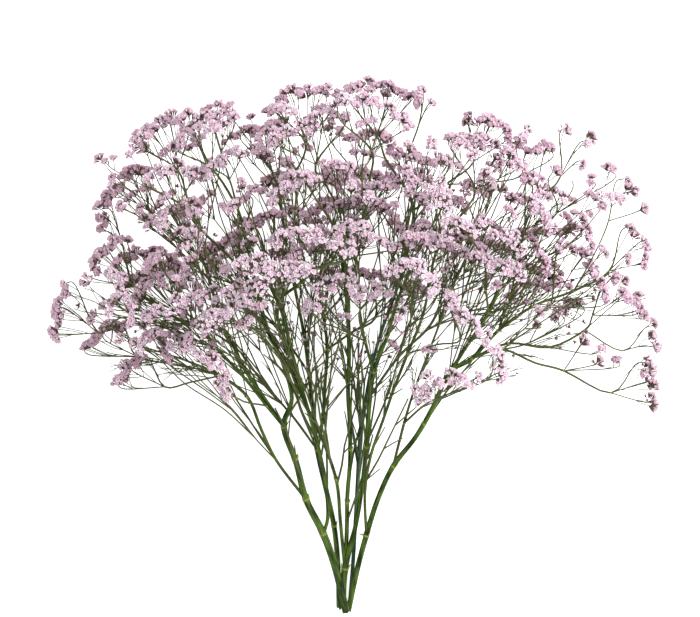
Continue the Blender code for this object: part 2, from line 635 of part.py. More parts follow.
def band_spine(plant, name):
    """The rings' middles along a band, and the way that its florets face there: away from the twigs' necks."""
    tips = np.array([plant.places[i] for i in plant.bands[name]])
    necks = np.array([plant.places[i] for i in plant.necks[name]])
    spine = smooth_curve(tips, RINGS_PER_TWIG)
    facing = smooth_curve(unit(tips - necks), RINGS_PER_TWIG)
    along = unit(np.gradient(spine, axis=0))
    facing = unit(facing - along * (facing * along).sum(axis=1, keepdims=True))
    return spine, along, facing


def band_mesh(plant, name, airy, draw):
    """A band of florets: rings round the spine, where floret tips and hollows take turns from place to place
    round each ring and from ring to ring. Faces meet along the hollows, so each floret is a point of its own."""
    spine, along, facing = band_spine(plant, name)
    across = np.cross(along, facing)
    angles = np.radians(FLORET_ANGLES)
    ring, spot = np.indices((len(spine), len(angles)))
    tip = (ring + spot) % 2 == 1
    tip[:, 0] = False
    share = np.array(AIRY_SHARES if airy else HEAD_SHARES)[ring % RINGS_PER_TWIG]
    height = FLORET_HEIGHT * share * (1 + FLORET_VARIATION * draw.uniform(-1, 1, tip.shape))
    hollow = np.where(spot == 0, KEEL_RADIUS, HOLLOW_RADIUS) * (share if airy else 1.0)
    reach = np.where(tip, height, hollow)
    lean = np.where(tip, FLORET_LEAN * draw.uniform(-1, 1, tip.shape), 0.0)
    outward = (np.cos(angles)[None, :, None] * facing[:, None]
               + np.sin(angles)[None, :, None] * across[:, None])
    rings = spine[:, None] + reach[:, :, None] * outward + lean[:, :, None] * along[:, None]
    start = spine[0] - along[0] * BAND_END_LENGTH
    end = spine[-1] + along[-1] * BAND_END_LENGTH
    return ring_mesh(name, rings, start, end, tip)


def finish(name, colour, roughness):
    """A matt dried surface in one colour."""
    material = bpy.data.materials.new(name)
    material.use_nodes = True
    shader = material.node_tree.nodes["Principled BSDF"]
    shader.inputs["Base Color"].default_value = (*colour, 1.0)
    shader.inputs["Roughness"].default_value = roughness
    shader.inputs["Metallic"].default_value = 0.0
    return material


def put(name, mesh, material):
    """An object for the mesh, in the scene."""
    mesh.materials.append(material)
    made = bpy.data.objects.new(name, mesh)
    bpy.context.scene.collection.objects.link(made)
    return made


def build_stem(plant, stem, radii, seats, material):
    """One stem with all its branches and twigs as one body: each chain is a tube, and the tubes are joined."""
    branches = bpy.data.collections.new(stem + "_branches")
    bpy.context.scene.collection.children.link(branches)
    draw = np.random.default_rng(SPRAY_SEED)
    for number, chain in enumerate(chains_of(plant, stem)):
        path = np.array([plant.places[i] for i in chain])
        thick = radii[chain]
        if number:
            thick[0] = thick[1]
        sides = sides_for(thick[:-1].max())
        if chain[-1] in plant.sprays:
            end_way = unit(path[-1] - path[-2])
            path[-1] -= end_way * SPRAY_DEPTH
            head = np.tile((SPRAY_HOLLOW, SPRAY_REACH), sides)
            head *= 1 + FLORET_VARIATION * draw.uniform(-1, 1, len(head))
        else:
            end_way = seats[chain[-1]]
            path[-1] -= end_way * (KEEL_RADIUS + SEAT_GAP)
            thick[-1] = CUP_RADIUS
            head = None
        mesh = tube_mesh(f"{stem}_{number}", path, thick, sides, end_way, head)
        if number:
            branches.objects.link(bpy.data.objects.new(f"{stem}_{number}", mesh))
        else:
            whole = put(stem, mesh, material)
    join = whole.modifiers.new("join the branches", "BOOLEAN")
    join.operation = "UNION"
    join.operand_type = "COLLECTION"
    join.collection = branches
    join.solver = "MANIFOLD"
    bpy.context.view_layer.update()
    joined = bpy.data.meshes.new_from_object(whole.evaluated_get(bpy.context.evaluated_depsgraph_get()))
    whole.modifiers.remove(join)
    whole.data = joined
    for branch in list(branches.objects):
        bpy.data.objects.remove(branch)
    bpy.data.collections.remove(branches)
    return whole


def main():
    plant = Plant()
    grow_stems(plant)
    grow_bands(plant)
    grow_sprays(plant)
    radii = radii_of(plant)
    bend_clear(plant, radii)
    seats = {}
    for name, tips in plant.bands.items():
        seats.update(zip(tips, band_spine(plant, name)[2][::RINGS_PER_TWIG]))
    green = finish("green_stem", (0.11, 0.2, 0.055), 0.65)
    pink = finish("pink_floret", (0.72, 0.42, 0.62), 0.8)
    for stem in STEMS:
        build_stem(plant, stem, radii, seats, green)
    for number, (name, (_, _, airy, _)) in enumerate(BANDS.items()):
        put(name, band_mesh(plant, name, airy, np.random.default_rng(100 + number)), pink)


main()
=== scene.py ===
# %% [markdown]
# # A bunch of dried statice
# Five cut stems of sea lavender lie on a table, crossed at their cut ends. They fork and fork again into a
# wide, flattened crown of wiry twigs. Each twig ends in small fans of papery pink florets, and the fans of
# neighbouring twigs stand shoulder to shoulder in wavy bands.
#
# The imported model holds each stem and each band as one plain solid. This scene keeps those solids as its
# frame and dresses them: it grows the same plant again from the same rule, then makes finer stems, real
# florets, and the small heads and hair-thin twigs between the bands.


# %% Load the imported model
import math

import bpy
import numpy as np
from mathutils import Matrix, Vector


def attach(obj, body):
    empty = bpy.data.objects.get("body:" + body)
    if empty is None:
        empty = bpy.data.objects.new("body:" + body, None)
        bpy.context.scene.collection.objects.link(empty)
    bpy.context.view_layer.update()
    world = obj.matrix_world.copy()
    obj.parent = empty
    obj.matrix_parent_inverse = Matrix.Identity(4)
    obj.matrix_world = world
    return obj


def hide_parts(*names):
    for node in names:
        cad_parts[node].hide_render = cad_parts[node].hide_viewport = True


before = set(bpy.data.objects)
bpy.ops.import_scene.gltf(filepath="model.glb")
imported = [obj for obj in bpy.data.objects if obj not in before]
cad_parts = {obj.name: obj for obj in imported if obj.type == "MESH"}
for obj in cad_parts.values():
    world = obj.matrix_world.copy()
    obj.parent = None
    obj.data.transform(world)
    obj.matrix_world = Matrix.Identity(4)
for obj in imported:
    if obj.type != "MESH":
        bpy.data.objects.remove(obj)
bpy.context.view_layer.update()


# %% [markdown]
# ## Where everything grows
# Lengths are in millimetres here, measured from the crossing of the cut ends, with Y along the bunch and Z
# up from the table. The very last step of every piece measures it from the middle of the bunch's footprint
# instead, and in metres. Each stem is a handful of runs of points: the stem itself, then its branches. Each
# flower band is a run across the crown and a depth in it, from -1 at the crown's underside to 1 at the side
# that a viewer above sees. A depth of -2 puts a band on the table. Typing a few points and letting a smooth
# curve pass through them is the quickest way to follow a living thing.


# %% Sizes of the bunch
MM = 0.001
FOOTPRINT_MIDDLE = (12.05, 268.05)
CROWN_MIDDLE = (10.0, 345.0)
CROWN_HALF_WIDTH = 320.0
CROWN_HALF_LENGTH = 205.0
CROWN_HALF_DEPTH = 112.0
THINNEST_CROWN = 0.12
CUT_END_HEIGHT = 12.0
AXIS_RISE = 0.33
TWIG_RADIUS = 0.62
PIPE_POWERS = {
    "stem_left": 0.41,
    "stem_middle": 0.475,
    "stem_back_left": 0.41,
    "stem_back_right": 0.37,
    "stem_right": 0.355,
}
RUN_STEP = 40.0
CURVE_STEPS = 12
FAN_SIZE = 4
FAN_REACH = 27.0
FAN_SPREAD = 0.34
FACING_LIFT = 0.75
NECK_LENGTH = 10.6
HUB_POINT = 5
STALK_STEP = 38.0
SHORTEST_STALK = 24.0
SHORT_STALK_COST = 3.0
TURN_COST = 2.2
SHARP_TURN = 0.45
SHARP_TURN_COST = 400.0
CROWDING_COST = 34.0
LEAVING_PULL = 0.9
ARRIVING_PULL = 0.7
LOWEST_FORK = 4.0
TWIG_SPACING = 26.0
BAND_CLEARANCE_RADIUS = 9.2
BAND_REST_HEIGHT = 2.9
STEM_REST_SHARE = 0.8
SPRAY_ZONES = (
    ((-85, 430), (165, 82), (-0.7, 0.9), 70),
    ((150, 395), (120, 85), (-0.7, 0.8), 60),
    ((-175, 312), (90, 60), (-0.5, 0.8), 60),
    ((235, 320), (75, 70), (-0.4, 0.5), 60),
    ((20, 300), (170, 45), (-0.5, 0.7), 40),
)
SPRAY_SEED = 17
SPRAY_FROM_BANDS = 27.0
SPRAY_APART = 53.0
SPRAY_STALK_STEP = 56.0
SPRAY_NECK = 12.0
SPRAY_CLEARANCE_RADIUS = 7.0
BEND_CLEAR_GAP = 0.2
BEND_EXTRA = 0.02
BEND_ROUNDS = 300
SEARCH_MARGIN = 8.0
LINK_END_SHARE = 0.08
print("crown in mm:", 2 * CROWN_HALF_WIDTH, 2 * CROWN_HALF_LENGTH, 2 * CROWN_HALF_DEPTH)


# %% The stems' runs
STEMS = {
    "stem_left": (
        ((0.8, 2, 14.2), (-9, 43, 13.4), (-14, 62, 17), (-27, 89, 25), (-44, 125, 36), (-50, 155, 45),
         (-57, 180, 53), (-79, 213, 66), (-100, 245, 82), (-117, 275, 98), (-130, 315, 116),
         (-142, 355, 132), (-152, 395, 140)),
        ((-44, 125, 36), (-75, 162, 46), (-95, 213, 60), (-117, 233, 72), (-137, 245, 80),
         (-160, 249, 84)),
        ((-57, 180, 53), (-78, 208, 64), (-97, 232, 78), (-118, 257, 90), (-142, 271, 100),
         (-165, 283, 108), (-190, 293, 114), (-225, 297, 118)),
        ((-14, 62, 17), (-17, 88, 26), (-18, 118, 38), (-24, 155, 54), (-36, 200, 76), (-50, 250, 100),
         (-62, 300, 124)),
        ((-57, 180, 53), (-52, 205, 68), (-60, 245, 92), (-75, 285, 116), (-88, 325, 138)),
    ),
    "stem_middle": (
        ((-2.8, 5, 8.8), (0, 52, 11), (2, 86, 20), (2, 111, 29), (5, 152, 44), (5, 185, 57), (3, 218, 71),
         (4, 260, 89), (3, 300, 107), (0, 340, 124), (-4, 390, 140), (-8, 440, 150)),
        ((0, 52, 11), (9, 80, 22), (15, 111, 35), (20, 152, 52), (22, 172, 61), (27, 235, 92),
         (40, 272, 112), (52, 312, 134), (62, 352, 152)),
        ((27, 235, 92), (20, 275, 116), (14, 315, 138), (12, 355, 156)),
        ((0, 52, 11), (-5, 94, 26), (-9, 135, 43), (-20, 168, 56), (-33, 198, 70), (-46, 222, 84),
         (-58, 262, 108), (-68, 310, 136)),
    ),
    "stem_back_left": (
        ((-5.6, 7, 1.6), (-7, 44, 5.5), (-11, 86, 14), (-21, 132, 26), (-28, 164, 35), (-32, 202, 46),
         (-36, 240, 57), (-42, 285, 70), (-52, 335, 84), (-62, 385, 98), (-70, 435, 108)),
        ((-28, 164, 35), (-50, 195, 42), (-78, 225, 48), (-105, 262, 52), (-130, 300, 54), (-150, 335, 56)),
        ((-28, 164, 35), (-22, 200, 38), (-20, 235, 38), (-18, 265, 36)),
    ),
    "stem_back_right": (
        ((5.0, 10, 1.6), (7.8, 45, 5.5), (12, 119, 22), (14, 160, 33), (17, 193, 44), (24, 226, 54),
         (34, 262, 66), (46, 305, 80), (58, 350, 94), (68, 400, 106), (76, 445, 114)),
        ((24, 226, 54), (48, 252, 56), (82, 285, 58), (112, 318, 60), (138, 350, 60)),
    ),
    "stem_right": (
        ((3.8, 3.5, 5.8), (8.6, 28, 8.6), (14, 49, 14.5), (24, 86, 26), (35, 119, 35), (54, 157, 47),
         (80, 189, 59), (98, 230, 76), (117, 262, 92), (138, 292, 108), (155, 328, 122), (172, 368, 132),
         (188, 408, 136)),
        ((98, 230, 76), (120, 249, 86), (136, 264, 93), (154, 270, 98), (177, 272, 103), (210, 266, 107),
         (252, 246, 111), (280, 232, 113)),
        ((210, 266, 107), (232, 281, 110), (256, 292, 114), (272, 298, 116)),
        ((117, 262, 92), (150, 282, 102), (180, 304, 110), (205, 317, 116), (228, 325, 120)),
        ((24, 86, 26), (20, 119, 45), (25, 155, 62), (34, 182, 76), (46, 218, 96), (60, 255, 118),
         (76, 295, 142)),
        ((54, 157, 47), (58, 185, 64), (66, 215, 84), (78, 248, 106), (92, 285, 128), (106, 325, 148)),
    ),
}
print("stems:", {stem: len(runs) for stem, runs in STEMS.items()})


# %% The flower bands
# Each band: its stem, its depth, whether its heads stand apart, and its run.
BANDS = {
    "flowers_far_left": ("stem_left", -0.2, False, ((-279, 332), (-289, 315), (-285, 297), (-288, 280))),
    "flowers_low_left": ("stem_left", -0.5, False, ((-224, 292), (-245, 282), (-262, 268))),
    "flowers_left_rim": ("stem_left", -0.3, False, ((-223, 378), (-240, 368), (-249, 355), (-256, 339))),
    "flowers_left_high_rim": ("stem_left", -0.6, False, (
        (-198, 443), (-211, 449), (-220, 434), (-237, 421), (-244, 403), (-245, 384))),
    "flowers_left_shoulder": ("stem_left", -0.3, False, (
        (-205, 466), (-198, 484), (-177, 494), (-156, 503))),
    "flowers_left_top": ("stem_left", 0.4, False, ((-169, 465), (-157, 480), (-133, 494), (-111, 494))),
    "flowers_left_high_arch": ("stem_left", 0.1, False, (
        (-197, 393), (-179, 403), (-158, 410), (-136, 412), (-115, 410), (-96, 420))),
    "flowers_left_arch": ("stem_left", -0.5, False, (
        (-226, 352), (-210, 362), (-192, 364), (-174, 358))),
    "flowers_left_low_arch": ("stem_left", 0.05, False, (
        (-214, 310), (-204, 328), (-185, 339), (-163, 338), (-148, 329))),
    "flowers_left_curtain": ("stem_left", 1.0, False, (
        (-140, 296), (-118, 303), (-101, 315), (-88, 330))),
    "flowers_left_front": ("stem_left", 0.75, False, (
        (-210, 294), (-190, 302), (-168, 311), (-149, 319), (-132, 322))),
    "flowers_left_skirt": ("stem_left", 0.5, False, (
        (-208, 276), (-190, 283), (-170, 276), (-148, 262), (-128, 250), (-120, 234), (-124, 216))),
    "flowers_left_tail": ("stem_left", -0.3, False, ((-203, 262), (-215, 250), (-229, 232))),
    "flowers_crown_left": ("stem_back_left", -0.5, False, ((-104, 482), (-83, 486), (-65, 496))),
    "flowers_crown_peak": ("stem_back_left", -0.3, False, (
        (-74, 508), (-60, 520), (-43, 525), (-24, 521), (-6, 523))),
    "flowers_crown_right": ("stem_back_right", -0.2, False, (
        (0, 524), (16, 528), (35, 525), (52, 525), (66, 518))),
    "flowers_crown_tips": ("stem_back_right", 0.2, True, ((71, 510), (75, 528), (89, 513))),
    "flowers_crown_front": ("stem_middle", 0.5, False, (
        (-7, 506), (15, 514), (39, 508), (47, 500), (63, 489))),
    "flowers_crown_inner": ("stem_middle", 0.4, False, (
        (0, 498), (-20, 500), (-40, 493), (-52, 480), (-66, 472))),
    "flowers_crown_wave": ("stem_back_right", -0.7, False, (
        (-12, 484), (8, 478), (28, 481), (47, 474), (62, 462), (82, 458), (104, 452))),
    "flowers_upper_left": ("stem_back_left", -0.2, False, ((-93, 468), (-77, 463), (-63, 453), (-48, 445))),
    "flowers_middle_left": ("stem_left", 0.8, False, ((-72, 418), (-58, 429), (-43, 438), (-26, 435))),
    "flowers_heart": ("stem_middle", 0.2, False, ((-6, 446), (6, 432), (26, 431), (50, 433))),
    "flowers_middle_band": ("stem_middle", -0.1, False, (
        (-43, 401), (-26, 409), (-10, 405), (14, 409), (40, 407))),
    "flowers_left_middle": ("stem_left", -0.3, False, (
        (-47, 402), (-69, 403), (-89, 398), (-93, 385), (-113, 376))),
    "flowers_middle_wave": ("stem_middle", 0.8, False, (
        (-70, 375), (-48, 383), (-28, 376), (-12, 366), (6, 366))),
    "flowers_long_wave": ("stem_middle", 0.6, False, (
        (-8, 382), (4, 390), (27, 387), (35, 376), (55, 370), (79, 381), (96, 372))),
    "flowers_right_curtain": ("stem_right", 0.9, False, ((87, 430), (101, 415), (96, 395), (107, 377))),
    "flowers_front": ("stem_middle", 1.0, False, ((44, 344), (58, 354), (73, 350), (86, 336), (90, 320))),
    "flowers_front_left": ("stem_left", 0.95, False, (
        (-36, 346), (-52, 338), (-68, 344), (-85, 352), (-102, 352))),
    "flowers_inner_front": ("stem_middle", 0.6, False, (
        (40, 328), (22, 322), (6, 330), (-11, 336), (-25, 324), (-40, 306))),
    "flowers_right_top": ("stem_back_right", -0.8, False, (
        (125, 498), (143, 498), (161, 484), (175, 468), (192, 468), (206, 466))),
    "flowers_right_high": ("stem_right", 0.35, False, (
        (105, 475), (125, 474), (145, 467), (158, 456), (175, 452))),
    "flowers_right_tips": ("stem_right", 0.1, True, ((218, 486), (232, 477), (246, 470), (241, 452))),
    "flowers_right_knots": ("stem_right", -0.2, True, (
        (206, 441), (221, 440), (231, 430), (241, 431), (250, 445), (263, 444))),
    "flowers_right_high_wing": ("stem_right", 0.0, False, ((277, 436), (288, 425), (298, 408))),
    "flowers_right_wing": ("stem_right", 0.0, False, (
        (280, 388), (294, 382), (302, 368), (303, 352))),
    "flowers_right_band": ("stem_right", -0.2, False, ((121, 429), (139, 427), (158, 418), (173, 417))),
    "flowers_right_bright": ("stem_right", 0.6, False, ((185, 428), (196, 416), (185, 403), (201, 393))),
    "flowers_right_chain": ("stem_right", -0.5, False, (
        (172, 382), (186, 378), (200, 386), (215, 383), (232, 387))),
    "flowers_right_front": ("stem_right", 0.75, False, ((121, 390), (140, 383), (158, 379), (175, 369))),
    "flowers_right_low_front": ("stem_right", 0.6, False, ((131, 359), (153, 351), (175, 340))),
    "flowers_right_edge": ("stem_right", -0.1, False, (
        (216, 371), (232, 364), (245, 352), (253, 332), (260, 311))),
    "flowers_right_inner": ("stem_right", -0.4, False, ((169, 336), (185, 338), (203, 328))),
    "flowers_right_outer": ("stem_right", -0.2, False, (
        (267, 342), (277, 327), (289, 312), (303, 300), (312, 284), (308, 268))),
    "flowers_right_low_tip": ("stem_right", -0.4, False, ((301, 252), (305, 235), (311, 215))),
    "flowers_right_twig": ("stem_right", -0.5, True, ((238, 271), (247, 258), (265, 264), (274, 257))),
    "flowers_right_under": ("stem_right", -0.3, False, ((231, 314), (218, 306), (206, 303), (198, 290))),
    "flowers_right_hang": ("stem_right", 0.9, False, (
        (108, 312), (118, 297), (132, 286), (146, 273), (157, 256), (158, 238))),
    "flowers_low_front": ("stem_right", 1.0, False, (
        (128, 234), (112, 239), (97, 230), (83, 230), (70, 216))),
    "flowers_left_inner_top": ("stem_left", 0.6, False, (
        (-200, 434), (-180, 444), (-154, 440), (-130, 449), (-108, 460))),
    "flowers_under_left": ("stem_back_left", -2.0, False, (
        (-238, 312), (-215, 334), (-188, 348), (-160, 350), (-136, 366), (-110, 376))),
    "flowers_under_top": ("stem_back_left", -2.0, False, (
        (-80, 432), (-50, 441), (-18, 436), (12, 443), (45, 438))),
    "flowers_under_right": ("stem_back_right", -2.0, False, (
        (108, 388), (140, 378), (166, 364), (192, 350), (216, 336), (234, 316))),
    "flowers_under_middle": ("stem_back_left", -0.75, False, (
        (-112, 322), (-82, 330), (-52, 342), (-20, 338), (14, 344), (48, 336), (78, 326))),
}
print("flower bands:", len(BANDS))


# %% [markdown]
# ## Curves through typed points
# A living branch has no corners. A Catmull-Rom curve passes through every typed point, so what is typed
# is what is seen, and it needs no handles as a Bezier curve does.


# %% Curves
def unit(vector):
    """The vector at length 1, or as it is where it has no length."""
    length = np.linalg.norm(vector, axis=-1, keepdims=True)
    return vector / np.maximum(length, 1e-9)


def crown_height(x, y, depth):
    """Height above the table of a place in the crown: the bunch's axis rises evenly from the cut ends, and
    depth from -1 to 1 goes across the dome's thickness there. No band lies lower than it does at rest."""
    across = (x - CROWN_MIDDLE[0]) / CROWN_HALF_WIDTH
    along = (y - CROWN_MIDDLE[1]) / CROWN_HALF_LENGTH
    thickness = np.sqrt(np.maximum(THINNEST_CROWN, 1.0 - across**2 - along**2))
    height = CUT_END_HEIGHT + AXIS_RISE * y + depth * CROWN_HALF_DEPTH * thickness
    return np.maximum(height, BAND_REST_HEIGHT)


def smooth_curve(points, per_span):
    """A Catmull-Rom curve through the points, with per_span steps from each point to the next."""
    points = np.asarray(points, float)
    ends = np.vstack([2 * points[0] - points[1], points, 2 * points[-1] - points[-2]])
    steps = np.linspace(0.0, 1.0, per_span, endpoint=False)[:, None]
    spans = []
    for a, b, c, d in zip(ends[:-3], ends[1:-2], ends[2:-1], ends[3:]):
        spans.append(
            0.5 * (2 * b + (c - a) * steps + (2 * a - 5 * b + 4 * c - d) * steps**2
                   + (3 * b - a - 3 * c + d) * steps**3)
        )
    return np.vstack([*spans, points[-1:]])


def evenly_spaced(points, spacing):
    """Points about this far apart along a smooth curve through the points, its two ends among them."""
    curve = smooth_curve(points, CURVE_STEPS)
    travelled = np.concatenate([[0.0], np.cumsum(np.linalg.norm(np.diff(curve, axis=0), axis=1))])
    count = max(2, round(travelled[-1] / spacing) + 1)
    places = np.linspace(0.0, travelled[-1], count)
    return np.stack([np.interp(places, travelled, curve[:, k]) for k in range(3)], axis=1)


# %% [markdown]
# ## The plant as points and links
# The bunch is first only a tree of points, each with a parent. Stems come first. Then each band asks for
# fans of twigs, and each fan's stalk leaves its stem where the way is short, the turn is gentle and the
# branch isn't crowded yet. It is a cheap way to get forks that look grown, without a growth simulation.


# %% The plant
class Plant:
    """The whole bunch as points and the links between them. Each point but a cut end has a parent point, a
    stem that it belongs to, and, where it carries a flower band, that band's place."""

    def __init__(self):
        self.places = []
        self.parents = []
        self.stems = []
        self.kinds = []
        self.runs = []
        self.fans_on_run = {}
        self.bands = {}
        self.necks = {}
        self.sprays = []

    def add(self, place, parent, stem, kind, run=None):
        self.places.append(np.asarray(place, float))
        self.runs.append(self.runs[parent] if run is None else run)
        self.parents.append(parent)
        self.stems.append(stem)
        self.kinds.append(kind)
        return len(self.places) - 1

    def add_chain(self, places, parent, stem, kind, run=None):
        for place in places:
            parent = self.add(place, parent, stem, kind, run)
        return parent

    def nearest(self, stem, place):
        found = [i for i, owner in enumerate(self.stems) if owner == stem]
        return min(found, key=lambda i: np.linalg.norm(self.places[i] - place))

    def heading(self, i):
        """The way that the stem or branch runs as it reaches point i."""
        parent = self.parents[i]
        if parent is None:
            return np.array([0.0, 1.0, 0.3])
        return unit(self.places[i] - self.places[parent])

    def best_fork(self, stem, goal):
        """The point of the stem's branches from which a stalk to the goal has the least length and turn."""
        best, least = None, math.inf
        for i, owner in enumerate(self.stems):
            if owner != stem or self.kinds[i] not in ("run", "stalk"):
                continue
            way = goal - self.places[i]
            length = np.linalg.norm(way)
            turn = 1.0 - float(unit(way) @ self.heading(i))
            cost = length * (1.0 + TURN_COST * turn)
            cost += SHARP_TURN_COST * max(0.0, turn - SHARP_TURN)
            cost += SHORT_STALK_COST * max(0.0, SHORTEST_STALK - length)
            cost += CROWDING_COST * self.fans_on_run.get(self.runs[i], 0)
            if cost < least:
                best, least = i, cost
        self.fans_on_run[self.runs[best]] = self.fans_on_run.get(self.runs[best], 0) + 1
        return best


# %% Stalks between a fork and a fan
def stalk_curve(begin, heading, goal, arrival, step):
    """Points of a stalk from a fork to a goal, both among them: the cubic that leaves halfway between its
    branch's heading and the way to the goal, and arrives along the given way."""
    length = np.linalg.norm(goal - begin)
    leaving = unit(heading + unit(goal - begin)) * length * LEAVING_PULL
    arriving = arrival * length * ARRIVING_PULL
    count = max(1, round(length / step))
    t = np.linspace(0.0, 1.0, count + 1)[:, None]
    return ((2 * t**3 - 3 * t**2 + 1) * begin + (t**3 - 2 * t**2 + t) * leaving
            + (3 * t**2 - 2 * t**3) * goal + (t**3 - t**2) * arriving)


def stalk_points(plant, start, goal, arrival, step):
    """The points of a stalk beyond the plant's own point that it starts from."""
    return stalk_curve(plant.places[start], plant.heading(start), goal, arrival, step)[1:]


# %% Grow the stems and the fans of the bands
def grow_stems(plant):
    """The runs of each stem: the stem itself, and the branches that fork from it."""
    for stem, runs in STEMS.items():
        for number, run in enumerate(runs):
            places = evenly_spaced(run, RUN_STEP)
            if run is runs[0]:
                parent = None
            else:
                parent = plant.nearest(stem, places[0])
                places = places[1:]
            plant.add_chain(places, parent, stem, "run", (stem, number))


def grow_bands(plant):
    """Each band's points, and the fans of twigs that carry them, the lowest in the crown first."""
    hub = {stem: np.asarray(runs[0][HUB_POINT], float) for stem, runs in STEMS.items()}
    fans = []
    for name, (stem, depth, _, outline) in BANDS.items():
        flat = np.asarray(outline, float)
        run = np.column_stack([flat, crown_height(flat[:, 0], flat[:, 1], depth)])
        carried = evenly_spaced(run, TWIG_SPACING)
        for part in np.array_split(np.arange(len(carried)), math.ceil(len(carried) / FAN_SIZE)):
            middle = carried[part].mean(axis=0)
            outward = unit(unit(middle - hub[stem]) + (0.0, 0.0, FACING_LIFT * max(depth, 0.0)))
            span = np.linalg.norm(carried[part[-1]] - carried[part[0]])
            fork = middle - outward * (FAN_REACH + FAN_SPREAD * span)
            fans.append((np.linalg.norm(fork - hub[stem]), name, stem, part, carried, outward, fork))
        plant.bands[name] = [None] * len(carried)
        plant.necks[name] = [None] * len(carried)
    for _, name, stem, part, carried, outward, fork in sorted(fans, key=lambda fan: fan[0]):
        fork[2] = max(fork[2], LOWEST_FORK)
        start = plant.best_fork(stem, fork)
        end = plant.add_chain(stalk_points(plant, start, fork, outward, STALK_STEP), start, stem, "stalk")
        along = unit(np.gradient(carried, axis=0))
        for k in part:
            way = carried[k] - fork
            facing = unit(way - along[k] * (way @ along[k]))
            plant.necks[name][k] = plant.add(carried[k] - facing * NECK_LENGTH, end, stem, "twig")
            plant.bands[name][k] = plant.add(carried[k], plant.necks[name][k], stem, "tip")


# %% Sow the small sprays
def sown_places(zone, draw):
    """Places drawn evenly over an oval part of the crown, at any depth between its two."""
    (middle_x, middle_y), (half_width, half_length), (lowest, highest), count = zone
    turn = draw.uniform(0.0, 2 * math.pi, count)
    out = np.sqrt(draw.uniform(0.0, 1.0, count))
    x = middle_x + half_width * out * np.cos(turn)
    y = middle_y + half_length * out * np.sin(turn)
    return np.column_stack([x, y, crown_height(x, y, draw.uniform(lowest, highest, count))])


def grow_sprays(plant):
    """The small sprays: each one's stalk forks from the stem whose band is nearest."""
    draw = np.random.default_rng(SPRAY_SEED)
    tips = [i for band in plant.bands.values() for i in band]
    flowered = np.array([plant.places[i] for i in tips])
    middles = [0.5 * (plant.places[a] + plant.places[b])
               for band in plant.bands.values() for a, b in zip(band[:-1], band[1:])]
    taken = np.vstack([flowered, middles])
    for place in np.vstack([sown_places(zone, draw) for zone in SPRAY_ZONES]):
        apart = [np.linalg.norm(place - plant.places[i]) for i in plant.sprays]
        too_near = np.linalg.norm(taken - place, axis=1).min() < SPRAY_FROM_BANDS
        if too_near or min(apart, default=math.inf) < SPRAY_APART:
            continue
        stem = plant.stems[tips[np.linalg.norm(flowered - place, axis=1).argmin()]]
        outward = unit(place - np.asarray(STEMS[stem][0][HUB_POINT], float))
        neck = place - outward * SPRAY_NECK
        start = plant.best_fork(stem, neck)
        stalk = stalk_points(plant, start, neck, outward, SPRAY_STALK_STEP)
        end = plant.add_chain(stalk, start, stem, "stalk")
        plant.sprays.append(plant.add(place, end, stem, "tip"))


# %% [markdown]
# ## Bending what would cross
# In a real bunch no two twigs pass through each other: they push each other aside. The same push is made
# here on every pair of links that are too close, round after round, until none is left or the rounds run
# out. The solids were made by this rule too.


# %% How much each point carries, and how thick that makes it
def twigs_carried(plant):
    """How many twig tips lie beyond each point."""
    carried = np.zeros(len(plant.places), int)
    for i in reversed(range(len(plant.places))):
        carried[i] += plant.kinds[i] == "tip"
        if plant.parents[i] is not None:
            carried[plant.parents[i]] += carried[i]
    return carried


def radii_of(plant):
    """The radius of stem or twig at each point, from how many twigs it carries."""
    powers = np.array([PIPE_POWERS[stem] for stem in plant.stems])
    return TWIG_RADIUS * np.maximum(twigs_carried(plant), 1) ** powers


# %% Closest points of two links
def closest_on_links(a0, a1, b0, b1):
    """For each pair of straight links a and b, where along each of them they come closest, from 0 to 1."""
    d1, d2, r = a1 - a0, b1 - b0, a0 - b0
    a = np.maximum((d1 * d1).sum(1), 1e-9)
    e = np.maximum((d2 * d2).sum(1), 1e-9)
    b, c, f = (d1 * d2).sum(1), (d1 * r).sum(1), (d2 * r).sum(1)
    slant = a * e - b * b
    s = np.where(slant > 1e-6 * a * e, np.clip((b * f - c * e) / np.maximum(slant, 1e-9), 0, 1), 0.5)
    t = np.clip((b * s + f) / e, 0, 1)
    s = np.clip((b * t - c) / a, 0, 1)
    return s, t


def links_of(plant, radii):
    """Every link as (point, point, radius, owner): stems and twigs by stem, and bands by name."""
    carried = twigs_carried(plant)
    links = []
    for i, parent in enumerate(plant.parents):
        if i in plant.sprays:
            links.append((parent, i, SPRAY_CLEARANCE_RADIUS, plant.stems[i]))
        elif parent is not None and carried[i]:
            links.append((parent, i, max(radii[i], radii[parent]), plant.stems[i]))
    for name, tips in plant.bands.items():
        for first, second in zip(tips[:-1], tips[1:]):
            links.append((first, second, BAND_CLEARANCE_RADIUS, name))
    return links


